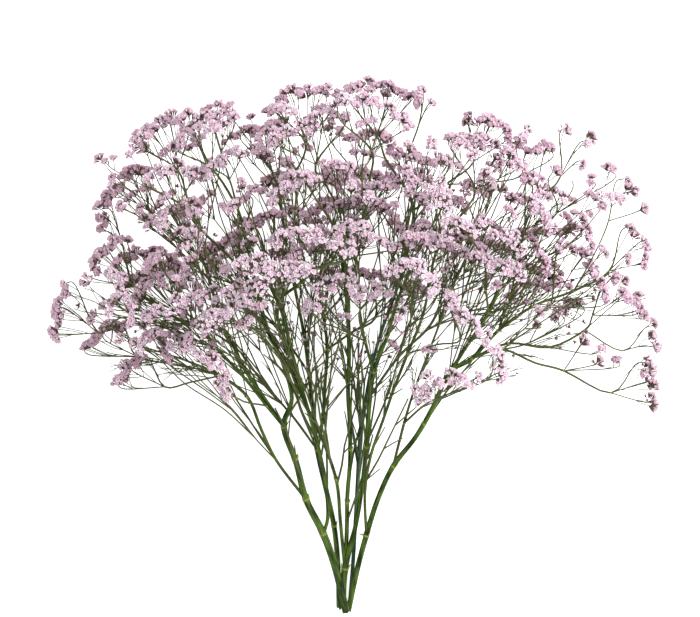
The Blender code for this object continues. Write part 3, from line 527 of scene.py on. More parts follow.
# %% Bend clear
def bend_clear(plant, radii):
    """Bends what would cross something of another piece until they stand clear: each round pushes the
    points of two links apart where the links are too close, then lifts what would sink into the table."""
    places = np.array(plant.places)
    links = links_of(plant, radii)
    first = np.array([link[0] for link in links])
    second = np.array([link[1] for link in links])
    radius = np.array([link[2] for link in links])
    owners = {name: number for number, name in enumerate([*STEMS, *BANDS])}
    owner = np.array([owners[link[3]] for link in links])
    low, high = np.triu_indices(len(links), 1)
    apart = owner[low] != owner[high]
    low, high = low[apart], high[apart]
    shared = ((first[low] == first[high]) | (first[low] == second[high])
              | (second[low] == first[high]) | (second[low] == second[high]))
    low, high = low[~shared], high[~shared]
    half = 0.5 * np.linalg.norm(places[first] - places[second], axis=1)
    reach = radius[low] + radius[high] + BEND_CLEAR_GAP
    table = np.zeros(len(places))
    rest = np.where(radius == BAND_CLEARANCE_RADIUS, BAND_REST_HEIGHT, STEM_REST_SHARE * radius)
    np.maximum.at(table, first, rest)
    np.maximum.at(table, second, rest)
    left = 0
    for _ in range(BEND_ROUNDS):
        middle = 0.5 * (places[first] + places[second])
        between = np.linalg.norm(middle[low] - middle[high], axis=1)
        near = between < half[low] + half[high] + reach + SEARCH_MARGIN
        a, b = low[near], high[near]
        s, t = closest_on_links(places[first[a]], places[second[a]], places[first[b]], places[second[b]])
        on_a = places[first[a]] * (1 - s)[:, None] + places[second[a]] * s[:, None]
        on_b = places[first[b]] * (1 - t)[:, None] + places[second[b]] * t[:, None]
        gap = on_a - on_b
        distance = np.linalg.norm(gap, axis=1)
        short = reach[near] - distance
        close = short > 0
        left = int(close.sum())
        if not left:
            break
        gap[distance < 1e-3] = (0.0, 0.0, 1.0)
        push = unit(gap[close]) * (0.5 * short[close] + BEND_EXTRA)[:, None]
        a, b, s, t = a[close], b[close], s[close], t[close]
        give_a = (radius[b] / (radius[a] + radius[b]))[:, None]
        give_b = 1.0 - give_a
        moved = np.zeros_like(places)
        count = np.zeros(len(places))
        for points, share, amount in (
            (first[a], 1 - s, push * give_a * 2), (second[a], s, push * give_a * 2),
            (first[b], 1 - t, -push * give_b * 2), (second[b], t, -push * give_b * 2),
        ):
            weight = share > LINK_END_SHARE
            np.add.at(moved, points[weight], amount[weight])
            np.add.at(count, points[weight], 1)
        places += moved / np.maximum(count, 1)[:, None]
        places[:, 2] = np.maximum(places[:, 2], table)
    plant.places = list(places)
    return left


# %% Chains of points
def chains_of(plant, stem):
    """The stem as chains of points: at each fork the thickest way goes on, and each other way starts a new
    chain at the fork's own point, so that its root is sunk in the branch that it leaves."""
    carried = twigs_carried(plant)
    children = {}
    for i, parent in enumerate(plant.parents):
        if plant.stems[i] == stem and carried[i]:
            children.setdefault(parent, []).append(i)
    chains, waiting = [], [[children[None][0]]]
    while waiting:
        chain = waiting.pop()
        while chain[-1] in children:
            ways = sorted(children[chain[-1]], key=lambda i: -carried[i])
            waiting.extend([chain[-1], other] for other in ways[1:])
            chain.append(ways[0])
        chains.append(chain)
    return chains


# %% Grow the bunch
# A faceted solid is drawn a little stouter than the round stem inside it, so thick stems are slimmed a
# little.
SLIMMED_FROM = (1.2, 3.0)
SLIMMED_TO = (1.0, 0.95)

plant = Plant()
grow_stems(plant)
grow_bands(plant)
grow_sprays(plant)
radii = radii_of(plant)
left_close = bend_clear(plant, radii)
radii = radii * np.interp(radii, SLIMMED_FROM, SLIMMED_TO)
print("points:", len(plant.places), " links still too close:", left_close)


# %% [markdown]
# ## From arrays to a mesh
# Every piece below is worked out as whole arrays of points, faces and values, and handed to Blender in
# one go. A small gatherer holds the arrays of many twigs or florets, because one mesh of thousands of
# small bodies is far quicker to render and to export than thousands of objects.


# %% A gatherer of small bodies
LOWEST_POINT = 0.05


class Gathered:
    """Small bodies on their way into one mesh. Each brings points, faces of four point numbers (a triangle
    repeats its last one), the UV place of each corner, and one value a point for each name."""

    def __init__(self, *names):
        self.points, self.faces, self.corners = [], [], []
        self.values = {name: [] for name in names}
        self.count = 0

    def add(self, points, faces, corners=None, **values):
        self.points.append(points)
        self.faces.append(faces + self.count)
        self.corners.append(np.zeros((*faces.shape, 2)) if corners is None else corners)
        for name, rows in self.values.items():
            rows.append(np.broadcast_to(values[name], len(points)))
        self.count += len(points)

    def mesh(self, name, smooth):
        """The mesh, in metres from the middle of the footprint, and nowhere below the table."""
        points = np.vstack(self.points)
        points[:, :2] -= FOOTPRINT_MIDDLE
        points[:, 2] = np.maximum(points[:, 2], LOWEST_POINT)
        faces = np.vstack(self.faces)
        corners = np.vstack(self.corners)
        length = np.where(faces[:, 2] == faces[:, 3], 3, 4)
        kept = np.arange(4)[None, :] < length[:, None]
        made = bpy.data.meshes.new(name)
        made.vertices.add(len(points))
        made.vertices.foreach_set("co", (points * MM).ravel())
        made.loops.add(int(length.sum()))
        made.loops.foreach_set("vertex_index", faces[kept].astype(np.int32))
        made.polygons.add(len(faces))
        starts = np.concatenate([[0], np.cumsum(length)[:-1]])
        made.polygons.foreach_set("loop_start", starts.astype(np.int32))
        made.polygons.foreach_set("loop_total", length.astype(np.int32))
        made.polygons.foreach_set("use_smooth", np.full(len(faces), smooth))
        made.uv_layers.new(name="UVMap").data.foreach_set("uv", corners[kept].ravel())
        for attribute, rows in self.values.items():
            values = np.concatenate(rows).astype(np.float32)
            made.attributes.new(attribute, "FLOAT", "POINT").data.foreach_set("value", values)
        made.update()
        made.validate()
        return made


def piece(name, gathered, material, slot, smooth, *stands_for):
    """An object at the origin that rides on the bunch's one body and stands for the named solids."""
    mesh = gathered.mesh(name, smooth)
    mesh.materials.append(material)
    made = bpy.data.objects.new(name, mesh)
    bpy.context.scene.collection.objects.link(made)
    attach(made, "root")
    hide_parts(*stands_for)
    top = max(corner[2] for corner in made.bound_box)
    print(f"{name}: {sum(len(p.vertices) - 2 for p in mesh.polygons)} triangles, top {top:.4f} m")
    return made


# %% [markdown]
# ## Stems and twigs
# A statice stem is a slim, faintly ribbed rod that swells at each node, where a yellow-green collar
# carries one to three small pointed scales. A tube along a curve is the natural way to make it: a ring of
# points is carried along the path, with its radius a function of the way along it and of the angle round
# it. The collar is a bump in that function, not a piece of its own, so that its surface flows into the
# stem as on the plant.


# %% A tube along a path
RIBS = 6
RIB_DEPTH = 0.045


def path_frames(path):
    """Two directions square to the path and to each other at each of its points. Both follow from the one
    direction that the path as a whole runs least along, so that the rings don't twist."""
    along = unit(np.gradient(path, axis=0))
    least = np.linalg.svd(along, full_matrices=False)[2][2]
    across = unit(np.cross(along, least))
    return across, np.cross(along, across)


def square_to(way, draw):
    """Two directions square to each way and to each other, turned about it at random."""
    seed = draw.normal(size=way.shape)
    across = unit(seed - way * (seed * way).sum(axis=-1, keepdims=True))
    return across, np.cross(way, across)


def wander(draw, size, most=1.5):
    """Random numbers on a bell curve of width 1, none of them beyond most."""
    return draw.normal(size=size).clip(-most, most)


def tube(path, radii, sides, ribs=0.0, flatness=1.0, dent=0.0):
    """Points, faces and UV corners of a closed tube: ring point = path + radius * (1 + ribs * cos(RIBS *
    turn)) * (cos(turn) * across + flatness * sin(turn) * up), closed at each end by triangles to a middle
    point, which the first end has sunk in by dent. U goes once round, and V is the way along in
    millimetres."""
    across, up = path_frames(path)
    turn = np.arange(sides) * 2 * math.pi / sides
    reach = radii[:, None] * (1.0 + ribs * np.cos(RIBS * turn))[None, :]
    points = (path[:, None] + (reach * np.cos(turn))[..., None] * across[:, None]
              + (flatness * reach * np.sin(turn))[..., None] * up[:, None]).reshape(-1, 3)
    rings = len(path)
    ring, side = (grid.ravel() for grid in np.indices((rings - 1, sides)))
    after = (side + 1) % sides
    walls = np.stack([ring * sides + side, ring * sides + after,
                      (ring + 1) * sides + after, (ring + 1) * sides + side], axis=1)
    way = np.concatenate([[0.0], np.cumsum(np.linalg.norm(np.diff(path, axis=0), axis=1))])
    u = np.stack([side, side + 1, side + 1, side], axis=1) / sides
    v = np.stack([way[ring], way[ring], way[ring + 1], way[ring + 1]], axis=1)
    rim = np.arange(sides)
    beside = (rim + 1) % sides
    middle = np.full(sides, rings * sides)
    last = (rings - 1) * sides
    low = np.stack([beside, rim, middle, middle], axis=1)
    high = np.stack([last + rim, last + beside, middle + 1, middle + 1], axis=1)
    corners = np.concatenate([np.stack([u, v], axis=2), np.zeros((2 * sides, 4, 2))])
    start = path[0] + dent * unit(path[1] - path[0])
    return np.vstack([points, start, path[-1]]), np.vstack([walls, low, high]), corners


# %% A branch with collars at its nodes
COLLAR_SWELL = 0.14
COLLAR_LENGTH = 1.8
COLLAR_STOPS = (-1.4, -0.7, 0.0, 0.7, 1.4)
OLD_STEM_RADIUS = 2.9
YOUNG_TWIG_RADIUS = 0.6
CUT_RAGGEDNESS = 1.6
SIDES_GROW_AT = (0.5, 0.7, 1.1, 2.0)
SIDES = (3, 4, 5, 8, 12)


def sides_of(radius):
    """Few sides on a thin twig, and more on a thick stem."""
    return SIDES[np.searchsorted(SIDES_GROW_AT, radius)]


def add_branch(gathered, path, thick, nodes=(), steps=3, cut_end=None):
    """One branch: a smooth tube through its points. Near each node the radius grows by a bell curve of the
    way to it, which "collar" keeps. "youth" goes from 0 in an old stem to 1 in a thin twig, and "cut" is 1
    in the middle of a cut end, whose rim is pushed about along the stem by cut_end, a drawer of numbers.
    Other branches have no cut_end."""
    fine = smooth_curve(path, steps)
    radius = np.interp(np.linspace(0, len(path) - 1, len(fine)), np.arange(len(path)), thick)
    way = np.concatenate([[0.0], np.cumsum(np.linalg.norm(np.diff(fine, axis=0), axis=1))])
    bell = np.zeros(len(fine))
    if len(nodes):
        at = np.interp(np.asarray(nodes, float) * steps, np.arange(len(way)), way)
        stops = np.concatenate([way, (at[:, None] + np.array(COLLAR_STOPS) * COLLAR_LENGTH).ravel()])
        stops = np.unique(np.clip(stops, 0.0, way[-1]).round(2))
        fine = np.stack([np.interp(stops, way, fine[:, k]) for k in range(3)], axis=1)
        radius = np.interp(stops, way, radius)
        bell = np.exp(-((stops[:, None] - at[None, :]) / COLLAR_LENGTH) ** 2).max(axis=1)
    sides = sides_of(thick[:-1].max())
    ribs = RIB_DEPTH if sides == SIDES[-1] else 0.0
    points, faces, corners = tube(fine, radius * (1 + COLLAR_SWELL * bell), sides, ribs,
                                  dent=0.0 if cut_end is None else CUT_RAGGEDNESS)
    cut = np.zeros(len(points))
    if cut_end is not None:
        points[:sides] += CUT_RAGGEDNESS * cut_end.uniform(-1, 1, (sides, 1)) * unit(fine[1] - fine[0])
        cut[-2] = 1.0
    youth = np.clip((OLD_STEM_RADIUS - radius) / (OLD_STEM_RADIUS - YOUNG_TWIG_RADIUS), 0.0, 1.0)
    gathered.add(points, faces, corners, cut=cut,
                 collar=np.concatenate([np.repeat(bell, sides), [0.0, 0.0]]),
                 youth=np.concatenate([np.repeat(youth, sides), [youth[0], youth[-1]]]))


# %% Scales at the nodes
SCALE_LENGTH = (2.0, 3.4)
SCALE_LEAN = (0.05, 0.45)
SCALE_PROFILE = (0.55, 1.0, 0.8, 0.45, 0.06)
SCALE_CURL = 1.5
SCALE_SIDES = 4
SCALE_FLATNESS = 0.4
SCALE_STRAW = 1.5
SCALE_YOUTH = 0.3
SCALES_ROUND = 3
SCALE_ROOT = 0.9
SCALE_LENGTH_POWER = 0.7
SCALE_WIDTH = 0.5
SCALE_WIDTH_POWER = 0.8
SCALED_AS_IF = 0.6
STOUT_RADIUS = 1.5
LONG_SCALE_STEM = "stem_right"
LONG_SCALE_NODE = np.array([24.0, 86.0, 26.0])
LONG_SCALE_WAY = unit(np.array([-1.0, 0.25, 0.5]))
LONG_SCALE_LENGTH = 10.0
LONG_SCALE_WIDTH = 1.3


def add_scale(gathered, root, heading, lean, length, width):
    """A pointed scale at a node: a flat tube from its root whose point leans away from its heading by the
    vector lean times its length, with the widths of SCALE_PROFILE."""
    t = np.linspace(0.0, 1.0, len(SCALE_PROFILE))[:, None]
    path = root + length * (t * heading + t**SCALE_CURL * lean)
    widths = np.array(SCALE_PROFILE) * width
    points, faces, corners = tube(path, widths, SCALE_SIDES, flatness=SCALE_FLATNESS)
    gathered.add(points, faces, corners, collar=SCALE_STRAW, youth=SCALE_YOUTH, cut=0.0)


def add_node_scales(gathered, path, thick, k, draw):
    """The scales at place k of the path: three round a stout branch, and one on a twig. Each is as long and
    as wide as a power of the radius there, which counts as SCALED_AS_IF where it is less."""
    spot = np.array([np.interp(k, np.arange(len(path)), path[:, axis]) for axis in range(3)])
    heading = unit(path[int(k) + 1] - path[int(k)])
    radius = max(SCALED_AS_IF, np.interp(k, np.arange(len(path)), thick))
    across, up = square_to(heading[None], draw)
    count = SCALES_ROUND if radius > STOUT_RADIUS else 1
    width = SCALE_WIDTH * radius**SCALE_WIDTH_POWER
    for turn in np.arange(count) * 2 * math.pi / SCALES_ROUND:
        away = math.cos(turn) * across[0] + math.sin(turn) * up[0]
        length = draw.uniform(*SCALE_LENGTH) * radius**SCALE_LENGTH_POWER
        lean = draw.uniform(*SCALE_LEAN) * away
        add_scale(gathered, spot + SCALE_ROOT * radius * away, heading, lean, length, width)


# %% Gather each stem's branches
# Plain nodes have a collar though nothing forks there. Their places are (x, y).
PLAIN_NODES = (
    (1, 25), (2, 111), (21, 169), (-8, 135), (-9, 86), (-32, 172), (79, 189), (-50, 155), (8, 165),
    (-30, 110),
)
PLAIN_NODE_REACH = 3.5
CUT_LENGTHENED = 3.0
STEM_STEPS = 5
STEM_STEPS_FROM = 1.6
TWIG_STEPS = 4


def plain_nodes_on(path):
    """Where on the path, counted in its own points, the plain nodes lie that are near enough to it."""
    fine = smooth_curve(path, CURVE_STEPS)
    found = []
    for spot in np.array(PLAIN_NODES, float):
        away = np.linalg.norm(fine[:, :2] - spot, axis=1)
        if away.min() < PLAIN_NODE_REACH and CURVE_STEPS < away.argmin():
            found.append(away.argmin() / CURVE_STEPS)
    return found


def stem_parts(plant, stem, draw):
    """The branches of one stem, with a collar and scales wherever another branch leaves, and at the plain
    nodes. The cut end is drawn out a little, because the real one is longer than the solid's flat end."""
    gathered = Gathered("collar", "youth", "cut")
    chains = chains_of(plant, stem)
    roots = {chain[0] for chain in chains[1:]}
    places = np.array(plant.places)
    for number, chain in enumerate(chains):
        thick = radii[chain].copy()
        path = places[chain]
        if number:
            thick[0] = thick[1]
        else:
            path[0] -= CUT_LENGTHENED * unit(path[1] - path[0])
        nodes = [k for k, point in enumerate(chain[:-1]) if k and point in roots]
        if thick.max() > STOUT_RADIUS:
            nodes += plain_nodes_on(path)
        steps = STEM_STEPS if thick[:-1].max() > STEM_STEPS_FROM else TWIG_STEPS
        add_branch(gathered, path, thick, nodes, steps, None if number else draw)
        for k in nodes:
            add_node_scales(gathered, path, thick, k, draw)
    if stem == LONG_SCALE_STEM:
        node = places[plant.nearest(stem, LONG_SCALE_NODE)]
        add_scale(gathered, node, LONG_SCALE_WAY, np.zeros(3), LONG_SCALE_LENGTH, LONG_SCALE_WIDTH)
    return gathered


# %% [markdown]
# ## Florets
# A statice floret is a brown-green funnel, the calyx, with five papery petals open at its mouth and a
# deeper pink throat. It is repeated thousands of times, so it gets only thirty triangles: a root, a ring
# of five points round the calyx, a rim that takes turns between five petal tips and five notches, and a
# point deep in the throat. Its colours come from values at those points, so all florets can share one
# material.


# %% The shape of one floret
PETALS = 5
CALYX_RING = (0.46, -1.3)
CALYX_BLOOM = 0.42
PETAL_TIP = (1.0, 0.1)
PETAL_NOTCH = (0.74, -0.1)
THROAT_DEPTH = -0.55


def floret_shape():
    """Rows of (radius, height, turn, bloom, heart) for the points of a floret whose petal tips have radius
    1, and its faces. Bloom is 0 at the root and 1 on the petals, and heart is 1 in the throat. The first
    row is the root, which add_florets puts in its place."""
    five = np.arange(PETALS) * 2 * math.pi / PETALS
    ten = np.arange(2 * PETALS) * math.pi / PETALS
    rows = [(0.0, 0.0, 0.0, 0.0, 0.0)]
    rows += [(*CALYX_RING, turn, CALYX_BLOOM, 0.0) for turn in five]
    rows += [(*(PETAL_NOTCH if k % 2 else PETAL_TIP), turn, 1.0, 0.0) for k, turn in enumerate(ten)]
    rows += [(0.0, THROAT_DEPTH, 0.0, 1.0, 1.0)]
    k = np.arange(PETALS)
    after = (k + 1) % PETALS
    calyx, rim = 1, 1 + PETALS
    tip, notch, before = rim + 2 * k, rim + 2 * k + 1, rim + (2 * k - 1) % (2 * PETALS)
    root, throat = np.zeros(PETALS, int), np.full(PETALS, 1 + 3 * PETALS)
    faces = np.vstack([np.stack(corners, axis=1) for corners in (
        (root, calyx + after, calyx + k),
        (calyx + k, calyx + after, notch), (calyx + k, notch, tip), (calyx + k, tip, before),
        (throat, tip, notch), (throat, before, tip))])
    return np.array(rows), np.column_stack([faces, faces[:, 2]])


floret_rows, floret_faces = floret_shape()
print("points and triangles of a floret:", len(floret_rows), len(floret_faces))


# %% Many florets at once
PETAL_CRINKLE = 0.16
MOST_CRINKLED = 1.6


def add_florets(gathered, roots, mouths, widths, tint, dusk, draw, opening=1.0):
    """Florets from their roots to their mouths: point = mouth + width * (radius * (cos(turn) * across +
    sin(turn) * up) + height * axis), with each radius and height crinkled a little. Each floret's first
    point is its root. Opening below 1 makes buds, narrower and less pink."""
    axis = unit(mouths - roots)
    across, up = square_to(axis, draw)
    radius, height, turn, bloom, heart = floret_rows.T
    radius, bloom = radius * opening, bloom * opening
    count, rows = len(roots), len(floret_rows)
    radius = radius * (1 + PETAL_CRINKLE * wander(draw, (count, rows), MOST_CRINKLED))
    height = height + PETAL_CRINKLE * wander(draw, (count, rows), MOST_CRINKLED)
    points = mouths[:, None] + widths[:, None, None] * (
        (radius * np.cos(turn))[..., None] * across[:, None]
        + (radius * np.sin(turn))[..., None] * up[:, None]
        + height[..., None] * axis[:, None])
    points[:, 0] = roots
    faces = floret_faces[None] + rows * np.arange(count)[:, None, None]
    gathered.add(points.reshape(-1, 3), faces.reshape(-1, 4), bloom=np.tile(bloom, count),
                 heart=np.tile(heart, count), tint=np.repeat(tint, rows), dusk=np.repeat(dusk, rows))


# %% [markdown]
# ## Heads
# Each pedicel ends in a small head: a dozen or so florets that fan out from one point, so their mouths
# lie on a domed cap and their funnels meet below it. Spreading them by the golden angle fills the cap
# evenly, with no rows, and a little disorder keeps it from looking like a pattern.


# %% A head of florets
FLORETS_PER_HEAD = 14
CAP_ANGLE = math.radians(60)
GOLDEN_ANGLE = math.pi * (3 - math.sqrt(5))
HEAD_REACH = 10.8
HEAD_FLATNESS = 0.78
FUNNEL_START = 0.2
FLORET_WIDTH = (1.4, 2.6)
FACING_WANDER = 0.3
POLAR_WANDER = 0.11
TURN_WANDER = 0.3
REACH_WANDER = 0.1
EDGE_PAINTED_SHADE = 0.6
PAINTED_SHADE_TURNS_AT = 0.6


def add_heads(gathered, bases, facings, reaches, dusk, draw, count=FLORETS_PER_HEAD, opening=1.0):
    """For each head: floret k of count looks at an angle CAP_ANGLE * sqrt((k + 1/2) / count) from the
    head's facing, a golden angle further round it than the last. Mouths lie a reach from the base, times
    HEAD_FLATNESS across the facing. Painted shade grows evenly from a head's middle to its edge, by
    EDGE_PAINTED_SHADE. The facings, angles and reaches wander a little from their rule."""
    heads = len(bases)
    facings = unit(facings + FACING_WANDER * draw.normal(size=facings.shape))
    across, up = square_to(facings, draw)
    k = np.arange(count)[None, :]
    polar = CAP_ANGLE * np.sqrt((k + 0.5) / count) + POLAR_WANDER * draw.normal(size=(heads, count))
    turn = GOLDEN_ANGLE * k + TURN_WANDER * draw.normal(size=(heads, count))
    ways = (np.cos(polar)[..., None] * facings[:, None]
            + HEAD_FLATNESS * (np.sin(polar) * np.cos(turn))[..., None] * across[:, None]
            + HEAD_FLATNESS * (np.sin(polar) * np.sin(turn))[..., None] * up[:, None])
    reach = reaches[:, None] * (1 + REACH_WANDER * draw.uniform(-1, 1, (heads, count)))
    mouths = (bases[:, None] + reach[..., None] * ways).reshape(-1, 3)
    roots = (bases[:, None] + FUNNEL_START * reach[..., None] * ways).reshape(-1, 3)
    widths = draw.uniform(*FLORET_WIDTH, heads * count)
    tint = draw.uniform(0, 1, heads * count)
    # Painted shade: florets towards a head's edge are darker.
    dusk = np.clip(dusk[:, None] + EDGE_PAINTED_SHADE * (polar / CAP_ANGLE - PAINTED_SHADE_TURNS_AT), 0, 1).ravel()
    add_florets(gathered, roots, mouths, widths, tint, dusk, draw, opening)


# %% Heads and pedicels along a band
HEADS_PER_TWIG = 3
PEDICEL_RADIUS = 0.5
PEDICEL_PROFILE = np.array([0.9, 0.85, 1.0, 1.7])
PEDICEL_BEND = 0.1
PEDICEL_CUP = 1.5
PEDICEL_START = (0.0, 0.75)
BASE_DEPTH = 5.2
HEAD_WANDER = 2.3
HEAD_STAGGER = 2.0
HEAD_REACHES = (0.55, 1.15)
PAINTED_SHADE_WANDER = 0.12
THINNED_ACROSS = (140.0, 230.0)
HEADS_MISSED = (0.13, 0.42)
HEAD_RIMWARD = np.array([1.0, 1.0, 0.45])
ROWS_APART = 8.0
ROW_LEAN = 0.7


def band_line(plant, name, per_twig):
    """Places along a band, per_twig from each twig to the next, and the way that its florets face there."""
    tips = np.array([plant.places[i] for i in plant.bands[name]])
    necks = np.array([plant.places[i] for i in plant.necks[name]])
    spine = smooth_curve(tips, per_twig)
    facing = smooth_curve(unit(tips - necks), per_twig)
    along = unit(np.gradient(spine, axis=0))
    return spine, unit(HEAD_RIMWARD * (facing - along * (facing * along).sum(axis=1, keepdims=True)))


def add_pedicel(twigs, start, base, way):
    """A hair-thin twig that leaves towards its head, arrives along the head's facing and ends in a cup."""
    bend = 0.5 * (start + base) - PEDICEL_BEND * np.linalg.norm(base - start) * way
    path = np.array([start, bend, base, base + PEDICEL_CUP * way])
    add_branch(twigs, path, PEDICEL_PROFILE * PEDICEL_RADIUS, steps=2)


def dress_band(florets, twigs, plant, name, depth, airy, draw):
    """A band's heads in two rows that lean apart, shoulder to shoulder, or two to each twig where the band
    is airy, each on a pedicel from the nearest twig. Some heads are missed, and more of them at the bunch's
    right, where it is thinner."""
    spine, facing = band_line(plant, name, HEADS_PER_TWIG)
    number = np.arange(len(spine))
    if airy:
        number = number[number % HEADS_PER_TWIG == 0]
        spine, facing = spine[number], facing[number]
    across = unit(np.cross(np.gradient(spine, axis=0), facing)) * 0.5
    spine = np.vstack([spine + ROWS_APART * across, spine - ROWS_APART * across])
    facing = unit(np.vstack([facing + ROW_LEAN * across, facing - ROW_LEAN * across]))
    number = np.concatenate([number, number])
    kept = draw.uniform(0, 1, len(spine)) > np.interp(spine[:, 0], THINNED_ACROSS, HEADS_MISSED)
    number, spine, facing = number[kept], spine[kept], facing[kept]
    spine = spine + HEAD_WANDER * wander(draw, spine.shape)
    bases = spine - facing * (BASE_DEPTH + HEAD_STAGGER * wander(draw, (len(spine), 1)))
    reaches = HEAD_REACH * draw.uniform(*HEAD_REACHES, len(spine))
    # Painted shade: the deeper a band lies in the crown, the darker its heads.
    dusk = np.clip(0.5 - 0.5 * depth + PAINTED_SHADE_WANDER * draw.normal(size=len(spine)), 0, 1)
    add_heads(florets, bases, facing, reaches, dusk, draw)
    necks = plant.necks[name]
    owners = np.clip(np.round(number / HEADS_PER_TWIG).astype(int), 0, len(necks) - 1)
    for base, way, owner in zip(bases, facing, owners):
        neck = plant.places[necks[owner]]
        fork = plant.places[plant.parents[necks[owner]]]
        add_pedicel(twigs, neck + (fork - neck) * draw.uniform(*PEDICEL_START), base, way)


# %% [markdown]
# ## Small sprays between the bands
# The solids hold the bands that make the bunch's form, and some of the small sprays that stand apart. The
# real crown has more of them, each of one to four heads on a long, thin stalk. They are grown by rule. A
# few zones say how full each part of the crown is, seeded draws throw places into them, a place too close
# to another head is dropped, and each one that stays grows a stalk from a branch some way below it.


# %% Dress a sown spray
SPRAY_SPREAD = 5.2
SPRAY_SPREADS = (0.6, 1.2)
SPRAY_TURN_WANDER = 0.4
SPRAY_PAINTED_SHADES = (0.2, 0.7)
SPRAY_HEAD_COUNT = (2, 5)
SPRAY_HEAD_REACH = (5.6, 7.6)
SPRAY_HEAD_FLORETS = 10


def dress_sown_spray(florets, twigs, neck, place, draw):
    """A few heads round the place of a sown spray, each on a pedicel from the end of the spray's stalk."""
    way = unit(place - neck)
    count = int(draw.integers(*SPRAY_HEAD_COUNT))
    across, up = square_to(way, draw)
    turn = np.arange(count) * 2 * math.pi / count + SPRAY_TURN_WANDER * draw.normal(size=count)
    out = SPRAY_SPREAD * draw.uniform(*SPRAY_SPREADS, count)
    spots = place + (out * np.cos(turn))[:, None] * across + (out * np.sin(turn))[:, None] * up
    facings = unit(spots - neck)
    bases = spots - facings * 0.5 * BASE_DEPTH
    # A base amount of painted shade for the spray's heads, drawn at random.
    dusk = np.full(count, draw.uniform(*SPRAY_PAINTED_SHADES))
    reaches = draw.uniform(*SPRAY_HEAD_REACH, count)
    add_heads(florets, bases, facings, reaches, dusk, draw, SPRAY_HEAD_FLORETS)
    for base, facing in zip(bases, facings):
        add_pedicel(twigs, neck, base, facing)


# %% Zones of small sprays
# Each zone: its middle (x, y), its half width and half length, its lowest and highest depth, and how many
# places are thrown into it.
SIDE_ZONES = (
    ((-85, 435), (168, 78), (-0.8, 0.8), 165),
    ((150, 408), (122, 76), (-0.8, 0.8), 105),
    ((235, 340), (65, 60), (-0.6, 0.6), 6),
    ((-175, 312), (85, 60), (-0.6, 1.0), 62),
)
SIDE_APART = 14.5
SPRAY_TOP = 244.0
SIDE_PAINTED_SHADE = 0.7
SIDE_HEADS = (1, 5)
HEADS_APART = 8.6
SIDE_STALK = (45.0, 150.0)
SIDE_FORK = (13.0, 0.45)
SIDE_SAG = 0.011
SIDE_REACH = 9.2
SIDE_REACHES = (0.7, 1.1)
SIDE_FLORETS = 11
SIDE_SHARP_TURN = 0.3
SIDE_FACING_WANDER = 0.15
SIDE_RUN_FROM = np.array([0.0, 0.3, 1.0])
SIDE_RUN_WANDER = 0.5
SIDE_STALK_RADIUS = 0.62
SIDE_STALK_TAPER = (1.25, 0.9)
STALK_WANDER = 0.02
CROWN_HUB = np.array([0.0, 170.0, 52.0])
print("places to throw:", sum(count for *_, count in SIDE_ZONES))


def thrown_places(draw):
    """Places for sprays: even draws in each zone's ellipse and depths, those nearest the hub first."""
    thrown = []
    for (x, y), (width, length), depths, count in SIDE_ZONES:
        turn = draw.uniform(0, 2 * math.pi, count)
        way = np.sqrt(draw.uniform(0, 1, count))
        px = x + width * way * np.cos(turn)
        py = y + length * way * np.sin(turn)
        depth = draw.uniform(*depths, count)
        thrown.append(np.column_stack([px, py, crown_height(px, py, depth), depth]))
    thrown = np.vstack(thrown)
    return thrown[np.argsort(np.linalg.norm(thrown[:, :3] - CROWN_HUB, axis=1))]


def spray_fork(places, headings, goal, shortest):
    """The place from which a stalk to the goal has the least length and turn, seldom one nearer than
    shortest."""
    way = goal - places
    length = np.linalg.norm(way, axis=1)
    turn = 1.0 - (unit(way) * headings).sum(axis=1)
    cost = length * (1.0 + TURN_COST * turn)
    cost += SHARP_TURN_COST * np.maximum(0.0, turn - SIDE_SHARP_TURN)
    return int(np.argmin(cost + SHORT_STALK_COST * np.maximum(0.0, shortest - length)))


def grow_side_sprays(plant, taken, draw):
    """Small sprays in the crown's free places: (stem, stalk's points, heads' places, facings, depth)."""
    sprays = []
    places = np.array(plant.places)
    headings = np.array([plant.heading(i) for i in range(len(places))])
    open_points = np.array([kind in ("run", "stalk") for kind in plant.kinds])
    places, headings = places[open_points], headings[open_points]
    stems = [stem for stem, kept in zip(plant.stems, open_points) if kept]
    for x, y, z, depth in thrown_places(draw):
        middle = np.array([x, y, z])
        heads = int(draw.integers(*SIDE_HEADS))
        outward = unit(middle - CROWN_HUB) + (0.0, 0.0, FACING_LIFT * max(depth, 0.0))
        outward = unit(outward + SIDE_FACING_WANDER * draw.normal(size=3))
        run = unit(np.cross(outward, unit(SIDE_RUN_FROM + SIDE_RUN_WANDER * draw.normal(size=3))))
        steps = (np.arange(heads) - 0.5 * (heads - 1)) * HEADS_APART
        spots = middle + steps[:, None] * run - (SIDE_SAG * steps**2)[:, None] * outward
        nearest = np.linalg.norm(taken[:, None] - spots[None], axis=2).min()
        if nearest < SIDE_APART or spots[:, 2].max() > SPRAY_TOP:
            continue
        taken = np.vstack([taken, spots])
        fork = middle - outward * (SIDE_FORK[0] + SIDE_FORK[1] * HEADS_APART * heads)
        fork[2] = max(fork[2], LOWEST_FORK)
        start = spray_fork(places, headings, fork, draw.uniform(*SIDE_STALK))
        stalk = stalk_curve(places[start], headings[start], fork, outward, STALK_STEP)
        length = np.linalg.norm(fork - places[start])
        stalk[1:-1] += STALK_WANDER * length * wander(draw, stalk[1:-1].shape)
        sprays.append((stems[start], stalk, spots, unit(spots - fork), depth))
        places = np.vstack([places, stalk[1:]])
        headings = np.vstack([headings, unit(np.diff(stalk, axis=0))])
        stems += [stems[start]] * (len(stalk) - 1)
    return sprays


